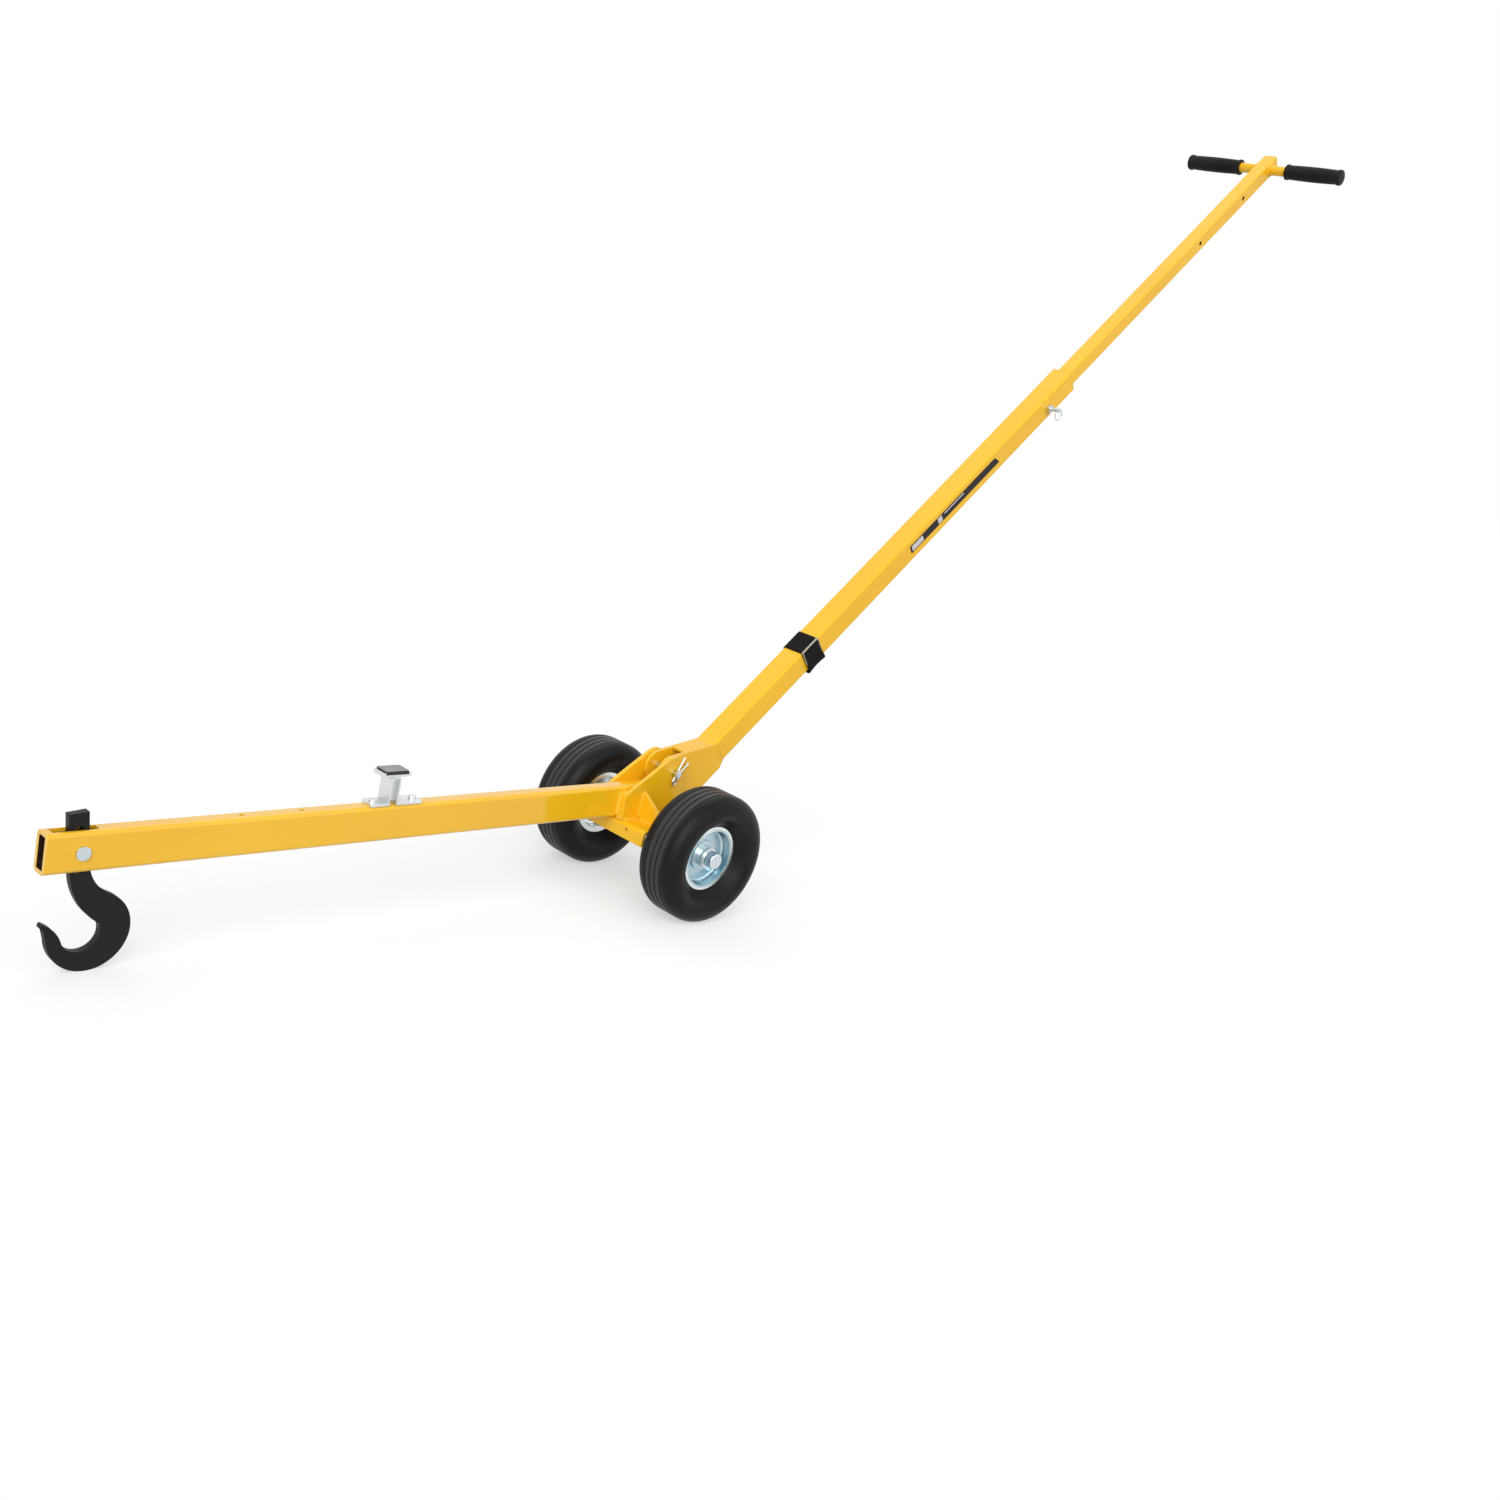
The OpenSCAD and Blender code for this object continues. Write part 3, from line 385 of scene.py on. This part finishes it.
def woven_finish(name, main, edge, long, wide):
    """Flat webbing on the strap's own map: ribs across, threads along, painted highlights at its
    end.
    """
    rib_pitch, thread_pitch = 0.0016, 0.0022
    cloth = Finish(name, Specular_IOR_Level=0.06)
    flat = cloth.node("UVMap", uv_map="cut").outputs["UV"]
    sized = cloth.node("Mapping", {"Vector": flat, "Scale": (long, wide, 1)}).outputs["Vector"]
    axes = cloth.axes(sized)
    along, across = axes["X"], axes["Y"]
    ribs = cloth.maths("SINE", cloth.maths("MULTIPLY", along, 2 * math.pi / rib_pitch))
    threads = cloth.maths("SINE", cloth.maths("MULTIPLY", across, 2 * math.pi / thread_pitch))
    weave = cloth.maths("MULTIPLY", ribs, threads)
    off = cloth.maths("ABSOLUTE", cloth.maths("SUBTRACT", across, wide / 2))
    # Painted highlights: pale lines along both side edges near the end and across the end
    # itself.
    side_highlight = cloth.span(off, wide / 2 - 0.0016, wide / 2 - 0.0008)
    flap = cloth.span(along, long - 0.030, long - 0.022)
    end_highlight = cloth.span(along, long - 0.0026, long - 0.0016)
    pale = cloth.maths("MAXIMUM", cloth.maths("MULTIPLY", side_highlight, flap), end_highlight)
    fuzz = cloth.span(cloth.noise(320.0, 4.0, 0.7), 0.3, 0.7, 0.45, 1.0)
    cloth.use(
        Base_Color=cloth.blend(cloth.maths("MULTIPLY", pale, fuzz), main, edge),
        Roughness=cloth.span(weave, -1.0, 1.0, 0.52, 0.38),
        Normal=cloth.bump(weave, 0.35, 0.0005),
    )
    return cloth.material


def film_finish(name, main, shade, shine):
    """Thin printed film with a soft gloss and faint scuffs."""
    film = Finish(name, Specular_IOR_Level=shine)
    scuff = film.span(film.noise(70.0, 6.0, 0.7), 0.50, 0.75)
    film.use(
        Base_Color=film.blend(scuff, main, shade),
        Roughness=film.cloudy(30.0, 3.0, 0.24, 0.38),
    )
    return film.material


def dress(names, material):
    """Give CAD nodes one finish."""
    for name in names:
        mesh = frame["nodes"][name].data
        mesh.materials.clear()
        mesh.materials.append(material)


def piece(name, bm, material, body, crease=35.0):
    """Close a mesh into an object that rides on a body."""
    mesh = bpy.data.meshes.new(name)
    bm.to_mesh(mesh)
    bm.free()
    if not mesh.polygons:
        raise RuntimeError(name + " has no faces")
    mesh.shade_smooth()
    mesh.set_sharp_from_angle(angle=math.radians(crease))
    mesh.materials.append(material)
    made = bpy.data.objects.new(name, mesh)
    bpy.context.scene.collection.objects.link(made)
    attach(made, body)
    return made


def settle(bm):
    """Join doubles and turn all faces outwards."""
    bmesh.ops.remove_doubles(bm, verts=bm.verts, dist=1e-6)
    bmesh.ops.recalc_face_normals(bm, faces=bm.faces)


def draw_out(bm, face):
    """Extrude a face where it is, and give back the new corners and the new face."""
    drawn = bmesh.ops.extrude_face_region(bm, geom=[face])["geom"]
    corners = [item for item in drawn if isinstance(item, bmesh.types.BMVert)]
    return corners, next(item for item in drawn if isinstance(item, bmesh.types.BMFace))


def round_corners(bm, radius, segments):
    """Round the corners of a mesh's only face, and give it back."""
    bmesh.ops.bevel(
        bm,
        geom=list(bm.verts),
        offset=radius,
        affect="VERTICES",
        segments=segments,
        profile=0.5,
        material=-1,
    )
    bm.faces.ensure_lookup_table()
    return bm.faces[-1]


def spin_round(bm, profile, centre, axis, steps):
    """Spin a profile right round an axis."""
    bmesh.ops.spin(
        bm,
        geom=profile,
        cent=centre,
        axis=axis,
        angle=2 * math.pi,
        steps=steps,
        use_merge=True,
    )


def weld_run(bm, start, end, leg, pitch):
    """A straight weld: a rod drawn out in ripples, their rings marked, sunk into the corner."""
    tip, valley = leg * 0.6, leg * 0.84
    start, end = Vector(start), Vector(end)
    along = end - start
    steps = 2 * max(3, round(along.length / pitch))
    stride = along / steps
    turn = along.to_track_quat("Z", "Y").to_matrix().to_4x4()
    ring = bmesh.ops.create_circle(bm, cap_ends=True, segments=8, radius=tip)["verts"]
    bmesh.ops.transform(bm, matrix=Matrix.Translation(start) @ turn, verts=ring)
    cap, radius = ring[0].link_faces[0], tip
    for step in range(1, steps + 1):
        behind = cap
        ring, cap = draw_out(bm, behind)
        if step > 1:
            for edge in behind.edges:
                edge.seam = True
            bmesh.ops.delete(bm, geom=[behind], context="FACES_ONLY")
        bmesh.ops.translate(bm, verts=ring, vec=stride)
        wanted = tip if step == steps else leg if step % 2 else valley
        about = Matrix.Translation(-(start + stride * step))
        bmesh.ops.scale(bm, verts=ring, vec=(wanted / radius,) * 3, space=about)
        radius = wanted


def weld_ring(bm, centre, axis, radius, leg):
    """A weld right round a bar or sleeve."""
    centre, axis = Vector(centre), Vector(axis)
    side = axis.orthogonal().normalized()
    turn = Matrix((side, axis, side.cross(axis))).transposed().to_4x4()
    ring = bmesh.ops.create_circle(bm, segments=8, radius=leg)["verts"]
    spot = Matrix.Translation(centre + side * radius) @ turn
    bmesh.ops.transform(bm, matrix=spot, verts=ring)
    edges = dict.fromkeys(edge for vert in ring for edge in vert.link_edges)
    spin_round(bm, [*ring, *edges], centre, axis, 40)


def turned_part(bm, profile, centre, axis):
    """Turn a profile about an axis, as on a lathe."""
    line = [bm.verts.new(point) for point in profile]
    edges = [bm.edges.new(pair) for pair in zip(line, line[1:])]
    spin_round(bm, line + edges, centre, axis, 64)
    settle(bm)


def thin_plate(bm, corners, thick, radius, place):
    """A thin plate with rounded corners, lifted along Z in its own frame."""
    bm.faces.new([bm.verts.new((x, y, 0)) for x, y in corners])
    top, _ = draw_out(bm, round_corners(bm, radius, 4))
    bmesh.ops.translate(bm, verts=top, vec=(0, 0, thick))
    settle(bm)
    bmesh.ops.transform(bm, matrix=place, verts=bm.verts)


def blend_block(bm, near, far, place):
    """A block from a rounded square (half, level) to an oblong (half, under, over, level)."""
    half, level = near
    wide, under, over, reach = far
    bmesh.ops.create_grid(bm, x_segments=1, y_segments=1, size=half)
    face = round_corners(bm, TUBE_CORNER, 6)
    bmesh.ops.translate(bm, verts=bm.verts, vec=(0, 0, level))
    end, _ = draw_out(bm, face)
    bmesh.ops.scale(bm, verts=end, vec=(wide / half, (over - under) / (2 * half), 1))
    bmesh.ops.translate(bm, verts=end, vec=(0, (over + under) / 2, reach - level))
    settle(bm)
    bmesh.ops.transform(bm, matrix=place, verts=bm.verts)


def ease(value):
    """Smooth step from 0 to 1."""
    value = min(max(value, 0.0), 1.0)
    return value * value * (3 - 2 * value)


class LIFTER_OT_paint(bpy.types.Operator):
    """Paint frame and handle yellow and the hook black"""

    bl_idname = "lifter.paint"
    bl_label = "Paint"

    def execute(self, context):
        tones = context.scene.lifter_finishes
        dress(YELLOW_NODES, gloss_paint("yellow powder coat", tones))
        low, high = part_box("boom_tube")
        creep = 0.0003
        wall = context.scene.lifter_trim.boom_wall - creep
        # The painted shade fills the boom's inside, within its wall.
        hollow_shade = ((low + high) / 2, (high - low) / 2 - Vector((creep, wall, wall)))
        dress(["boom_tube"], gloss_paint("boom powder coat", tones, 1.0, hollow_shade))
        plug = moulded_finish("yellow moulded plug", tones.yellow, tones.yellow_deep)
        dress(YELLOW_PLUGS, plug)
        dress(["hook"], satin_paint("satin black paint", tones.black, tones.bare_steel))
        return {"FINISHED"}


class LIFTER_OT_plate(bpy.types.Operator):
    """Plate pins, rims, axle and handle rest with zinc"""

    bl_idname = "lifter.plate"
    bl_label = "Zinc plate"

    def execute(self, context):
        tones = context.scene.lifter_finishes
        dress(ZINC_NODES, zinc_finish("bright zinc", tones.zinc_pale, tones.zinc_grey))
        dress(PIN_NODES, zinc_finish("pin zinc", tones.pin_pale, tones.pin_grey))
        low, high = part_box("rim_outer_left")
        axle = ((low.x + high.x) / 2, 0, (low.z + high.z) / 2)
        lip = (high.x - low.x) / 2 - context.scene.lifter_trim.rim_lip_highlight
        rim = zinc_finish("blue zinc", tones.zinc_pale, tones.zinc_blue, (axle, lip))
        dress(RIM_NODES, rim)
        return {"FINISHED"}


class LIFTER_OT_rubber(bpy.types.Operator):
    """Finish the tyres, the rest's pad and the nylon bushes"""

    bl_idname = "lifter.rubber"
    bl_label = "Rubber and nylon"

    def execute(self, context):
        tones = context.scene.lifter_finishes
        low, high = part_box("tyre_right")
        band = ((low.y + high.y) / 2, context.scene.lifter_trim.tread_half, tones.tread)
        dress(TYRE_NODES, rubber_finish("tyre rubber", tones, (0.36, 0.50), band=band))
        pad = rubber_finish("pad rubber", tones, (0.22, 0.32), top=tones.pad_dust_and_sheen, shine=0.5)
        dress(["rest_pad"], pad)
        dress(NYLON_NODES, moulded_finish("black nylon", tones.nylon, tones.rubber_dust))
        return {"FINISHED"}


class LIFTER_OT_welds(bpy.types.Operator):
    """Lay the painted weld runs of frame, handle and grip bar"""

    bl_idname = "lifter.welds"
    bl_label = "Welds"

    def execute(self, context):
        trim = context.scene.lifter_trim
        self.leg, self.pitch = trim.weld_leg, trim.weld_pitch
        self.coat = frame["nodes"]["handle_tube"].data.materials[0]
        self.weld_frame()
        self.smooth_knee()
        self.weld_lock()
        self.weld_bar()
        return {"FINISHED"}

    def finish(self, name, bm, body):
        """Close a piece, with the marked rings of its ripples sharp."""
        settle(bm)
        made = piece(name, bm, self.coat, body, 60.0)
        for edge in made.data.edges:
            if edge.use_seam:
                edge.use_edge_sharp, edge.use_seam = True, False

    def weld_frame(self):
        """Pivot plates, packers and gussets on base and boom."""
        stop, cheek_stop, gusset_reach = 0.004, 0.006, 0.040
        leg, thin = self.leg, self.leg * 0.8
        cheek_low, cheek_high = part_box("cheek_left")
        packer_low, packer_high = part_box("cheek_packers")
        gusset_low, gusset_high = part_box("gusset_left")
        boom_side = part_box("boom_tube")[1].y
        far = max(abs(cheek_low.y), abs(cheek_high.y))
        bm = bmesh.new()
        for side in (-1, 1):
            foot = (side * far, cheek_low.z)
            front = (packer_low.x, side * boom_side)
            runs = [
                ((cheek_low.x + cheek_stop, *foot), (gusset_low.x - stop, *foot), leg),
                ((gusset_high.x + stop, *foot), (cheek_high.x - cheek_stop, *foot), leg),
                ((*front, packer_low.z + stop), (*front, packer_high.z - stop), leg),
            ]
            inner, outer = side * (far + stop), side * (far + gusset_reach)
            for face in (gusset_low.x, gusset_high.x):
                wall = (face, side * far)
                runs += [
                    ((face, inner, gusset_low.z), (face, outer, gusset_low.z), thin),
                    ((*wall, gusset_low.z + stop), (*wall, gusset_high.z - stop), thin),
                ]
            for start, end, size in runs:
                weld_run(bm, start, end, size, self.pitch)
        self.finish("frame_welds", bm, "frame")

    def smooth_knee(self):
        """The ground weld that carries the knee plates' sides into the tube's."""
        low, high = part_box("knee_plate_left")
        flank = max(abs(low.y), abs(high.y)) - 0.00005
        tube = (TUBE_HALF + 0.00003, TUBE_FOOT + 0.0015)
        plates = (flank, -TUBE_HALF, KNEE_OVER, TUBE_FOOT - 0.0090)
        bm = bmesh.new()
        blend_block(bm, tube, plates, Z_UP_HANDLE)
        piece("knee_blend", bm, self.coat, "handle")

    def weld_lock(self):
        """The lock sleeve on the tube's near side."""
        bm = bmesh.new()
        spot = HANDLE @ Vector((LOCK_UP, -TUBE_HALF, 0))
        weld_ring(bm, spot, (0, 1, 0), LOCK_RADIUS, self.leg * 0.5)
        self.finish("handle_welds", bm, "handle")

    def weld_bar(self):
        """The grip bar where it leaves the slide tube."""
        low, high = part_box("grip_bar")
        middle = (low + high) / 2
        radius = (high.x - low.x) / 2
        bm = bmesh.new()
        for side in (-1, 1):
            spot = (middle.x, side * SLIDE_HALF, middle.z)
            weld_ring(bm, spot, (0, 1, 0), radius + self.leg * 0.2, self.leg * 0.8)
        self.finish("bar_welds", bm, "slide")


class LIFTER_OT_strap(bpy.types.Operator):
    """Wrap the loop strap round the handle tube"""

    bl_idname = "lifter.strap"
    bl_label = "Strap"

    def execute(self, context):
        trim = context.scene.lifter_trim
        tones = context.scene.lifter_finishes
        thick, wide = trim.strap_thick, trim.strap_wide
        tube_gap, lap_gap, bend_inside = 0.0004, 0.0003, 0.0048
        half = TUBE_HALF + tube_gap + thick / 2
        corner = bend_inside + thick / 2
        run = 2 * (half - corner)
        bend = corner * math.pi / 2
        turn = 4 * (run + bend)
        lead, rise, dip, dip_long = 0.45 * run, 0.6 * run, 0.2 * run, 0.011
        flare, flare_from, flare_share = 0.0012, 0.93, 0.07
        path = turn - lead + trim.strap_lap

        def loop(reach):
            """Point and outward side on the first turn, from the near side's foot."""
            side, rest = divmod(reach % turn, run + bend)
            if rest < run:
                spot, out = Vector((-half, rest - run / 2)), Vector((-1.0, 0.0))
            else:
                angle = (rest - run) / corner
                out = Vector((-math.cos(angle), math.sin(angle)))
                spot = Vector((corner - half, run / 2)) + corner * out
            spin = Matrix.Rotation(-side * math.pi / 2, 2)
            return spin @ spot, spin @ out

        def track(share, across):
            """Place of the webbing's middle layer in the handle's frame."""
            reach = lead + share * path
            spot, out = loop(reach)
            edge = (2 * across / wide) ** 2
            over = ease((reach - (turn - rise)) / rise) * (thick + lap_gap)
            sag = math.exp(-(((reach - turn + dip) / dip_long) ** 2))
            sag *= trim.strap_slack * (0.55 + 0.45 * edge)
            lift = ease((share - flare_from) / flare_share) * flare * edge
            out_by = over + sag + lift
            return Vector((trim.strap_foot + wide / 2 + across, *(spot + out_by * out)))

        line = [track(step / 300, 0.0) for step in range(301)]
        cut = sum((last - first).length for first, last in zip(line, line[1:]))
        bm = bmesh.new()
        bm.loops.layers.uv.new("cut")
        bmesh.ops.create_grid(bm, x_segments=150, y_segments=14, size=0.5, calc_uvs=True)
        for vert in bm.verts:
            vert.co = HANDLE @ track(vert.co.x + 0.5, vert.co.y * wide)
        bmesh.ops.recalc_face_normals(bm, faces=bm.faces)
        cloth = woven_finish("loop webbing", tones.webbing, tones.webbing_edge_highlight, cut, wide)
        made = piece("loop_strap", bm, cloth, "handle", 180.0)
        wall = made.modifiers.new("webbing thickness", "SOLIDIFY")
        wall.thickness = thick
        wall.offset = 0.0
        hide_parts("strap")
        return {"FINISHED"}


class LIFTER_OT_label(bpy.types.Operator):
    """Lay a plain marking strip on the near side of the handle tube"""

    bl_idname = "lifter.label"
    bl_label = "Marking strip"

    def execute(self, context):
        trim = context.scene.lifter_trim
        tones = context.scene.lifter_finishes
        foot, head, half = trim.label_foot, trim.label_head, trim.label_wide / 2
        film_thick, block_thick, slant, above_middle = 0.0004, 0.0006, 0.009, 0.0015
        side = HANDLE @ Matrix.Translation((0, -TUBE_HALF, above_middle))
        side = side @ Matrix.Rotation(math.pi / 2, 4, "X")

        bm = bmesh.new()
        outline = [(foot, -half), (head, -half), (head - slant, half), (foot, half)]
        thin_plate(bm, outline, film_thick, 0.0012, side)
        film = film_finish("dark film", tones.film, tones.rubber_dust, 0.15)
        piece("marking_strip", bm, film, "handle")

        # Each block's ends up from the strip's foot, and its sides in shares of the half width.
        blocks = {
            "marking_block_foot": (0.004, 0.036, -0.72, 0.72),
            "marking_block_middle": (0.080, 0.092, -0.80, 0.80),
            "marking_line": (0.100, 0.158, 0.30, 0.62),
        }
        pale = film_finish("pale film", tones.film_pale, tones.zinc_pale, 0.5)
        for name, (start, stop, under, over) in blocks.items():
            low, high = foot + start, foot + stop
            under, over = under * half, over * half
            bm = bmesh.new()
            corners = [(low, under), (high, under), (high, over), (low, over)]
            thin_plate(bm, corners, block_thick, min(0.0018, (over - under) * 0.4), side)
            piece(name, bm, pale, "handle")
        return {"FINISHED"}


class LIFTER_OT_grips(bpy.types.Operator):
    """Mould the ribbed rubber grips"""

    bl_idname = "lifter.grips"
    bl_label = "Grips"

    def execute(self, context):
        trim = context.scene.lifter_trim
        tones = context.scene.lifter_finishes
        rubber = rubber_finish("grip rubber", tones, (0.44, 0.58))
        bar_low, bar_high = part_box("grip_bar")
        bore = (bar_high.x - bar_low.x) / 2
        collar, belly, plain_near, plain_far = 0.0012, 0.0009, 0.010, 0.012
        for name in ("grip_left", "grip_right"):
            low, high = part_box(name)
            middle = (low + high) / 2
            outer = (high.x - low.x) / 2
            side = 1 if middle.y > 0 else -1
            near, far = sorted((abs(low.y), abs(high.y)))
            body = outer - collar
            ribs_from, ribs_to = near + plain_near, far - plain_far
            pitch = (ribs_to - ribs_from) / trim.grip_ribs

            # Radius and place along the bar: inner collar, ribs, outer collar and closed end.
            steps = [(bore, near), (outer - 0.001, near), (outer, near + 0.0008)]
            steps += [(outer, near + 0.0050), (body, near + 0.0066)]
            for rib in range(trim.grip_ribs):
                start = ribs_from + rib * pitch
                swell = belly * math.sin(math.pi * (rib + 0.5) / trim.grip_ribs)
                crest = min(body + swell, outer)
                steps += [
                    (crest, start + pitch * 0.12),
                    (crest, start + pitch * 0.58),
                    (crest - trim.rib_depth, start + pitch * 0.70),
                    (crest - trim.rib_depth, start + pitch * 0.98),
                ]
            steps += [(body, far - 0.0095), (outer, far - 0.0075), (outer, far - 0.0028)]
            steps += [(outer - 0.0010, far - 0.0010), (outer - 0.0030, far)]
            steps += [(0.0026, far), (0.0020, far - 0.0010), (0.0, far - 0.0012)]
            profile = [(middle.x + reach, side * along, middle.z) for reach, along in steps]
            bm = bmesh.new()
            turned_part(bm, profile, (middle.x, 0, middle.z), (0, 1, 0))
            made = piece(name + "_ribbed", bm, rubber, "slide")
            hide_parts(name)
        return {"FINISHED"}


class LIFTER_OT_stage(bpy.types.Operator):
    """Set the floor, the lamps and the camera"""

    bl_idname = "lifter.stage"
    bl_label = "Stage"

    def execute(self, context):
        scene = context.scene
        scene.view_settings.view_transform = "Standard"
        self.set_camera(scene, scene.lifter_stage)
        self.lay_floor(scene, scene.lifter_stage)
        self.light(scene, scene.lifter_stage)
        return {"FINISHED"}

    def set_camera(self, scene, stage):
        camera = bpy.data.objects.new("camera", bpy.data.cameras.new("camera"))
        camera.data.lens = stage.lens
        camera.data.sensor_width = 36.0
        right = Vector((0.66223435, -0.71729061, 0.21665606))
        up = Vector((0.04435002, 0.32616153, 0.94427312))
        back = Vector((-0.74798312, -0.61572139, 0.24780722))
        stand = Matrix((right, up, back)).transposed().to_4x4()
        stand.translation = (-1.949275, -1.581711, 0.853856)
        camera.matrix_world = stand
        scene.collection.objects.link(camera)
        scene.camera = camera

    def lay_floor(self, scene, stage):
        bm = bmesh.new()
        bmesh.ops.create_grid(bm, x_segments=2, y_segments=2, size=60.0)
        mesh = bpy.data.meshes.new("studio floor")
        bm.to_mesh(mesh)
        bm.free()
        floor = bpy.data.objects.new("studio_floor", mesh)
        scene.collection.objects.link(floor)
        paper = Finish("studio paper", Roughness=0.9, Specular_IOR_Level=0.1)
        paper.use(
            Base_Color=stage.floor,
            Emission_Color=(1, 1, 1, 1),
            Emission_Strength=paper.maths("MULTIPLY", paper.shown(), stage.floor_lift),
        )
        mesh.materials.append(paper.material)

    def light(self, scene, stage):
        scene.world = bpy.data.worlds.new("studio sky")
        scene.world.use_nodes = True
        sky = Nodes(scene.world.node_tree)
        glow = sky.tree.nodes["Background"].inputs
        sky.feed(glow["Color"], (1, 1, 1, 1))
        sky.feed(glow["Strength"], sky.span(sky.shown(), 0.0, 1.0, stage.sky, 1.0))

        # Where each lamp stands, its strength, and how wide it is in degrees.
        lamps = {
            "key lamp": ((-0.58, -0.43, 0.48), stage.key, 50.0),
            "fill lamp": ((0.25, -0.85, 0.45), stage.fill, 60.0),
            "top lamp": ((0.20, 0.45, 0.90), stage.top, 60.0),
        }
        for name, (towards, power, spread) in lamps.items():
            lamp = bpy.data.objects.new(name, bpy.data.lights.new(name, "SUN"))
            lamp.data.energy = power
            lamp.data.angle = math.radians(spread)
            lamp.rotation_euler = Vector(towards).to_track_quat("Z", "Y").to_euler()
            scene.collection.objects.link(lamp)


class LIFTER_PT_panel(bpy.types.Panel):
    """Steps and settings of the lifter's scene"""

    bl_idname = "LIFTER_PT_panel"
    bl_label = "Lever Lifter"
    bl_space_type = "VIEW_3D"
    bl_region_type = "UI"
    bl_category = "Lifter"

    def draw(self, context):
        for step in STEPS:
            self.layout.operator(step.bl_idname)
        for group in GROUPS:
            settings = getattr(context.scene, group)
            box = self.layout.box()
            for name in settings.bl_rna.properties.keys():
                if name not in ("rna_type", "name"):
                    box.prop(settings, name)


STEPS = (
    LIFTER_OT_stage,
    LIFTER_OT_paint,
    LIFTER_OT_plate,
    LIFTER_OT_rubber,
    LIFTER_OT_welds,
    LIFTER_OT_strap,
    LIFTER_OT_label,
    LIFTER_OT_grips,
)
GROUPS = {
    "lifter_finishes": LifterFinishes,
    "lifter_trim": LifterTrim,
    "lifter_stage": LifterStage,
}


def register():
    for name, group in GROUPS.items():
        bpy.utils.register_class(group)
        setattr(bpy.types.Scene, name, PointerProperty(type=group))
    for step in (*STEPS, LIFTER_PT_panel):
        bpy.utils.register_class(step)


def unregister():
    for step in (LIFTER_PT_panel, *reversed(STEPS)):
        bpy.utils.unregister_class(step)
    for name, group in reversed(GROUPS.items()):
        delattr(bpy.types.Scene, name)
        bpy.utils.unregister_class(group)


def main():
    register()
    bpy.ops.lifter.stage()
    bpy.ops.lifter.paint()
    bpy.ops.lifter.plate()
    bpy.ops.lifter.rubber()
    bpy.ops.lifter.welds()
    bpy.ops.lifter.strap()
    bpy.ops.lifter.label()
    bpy.ops.lifter.grips()
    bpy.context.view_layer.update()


if __name__ == "__main__":
    main()
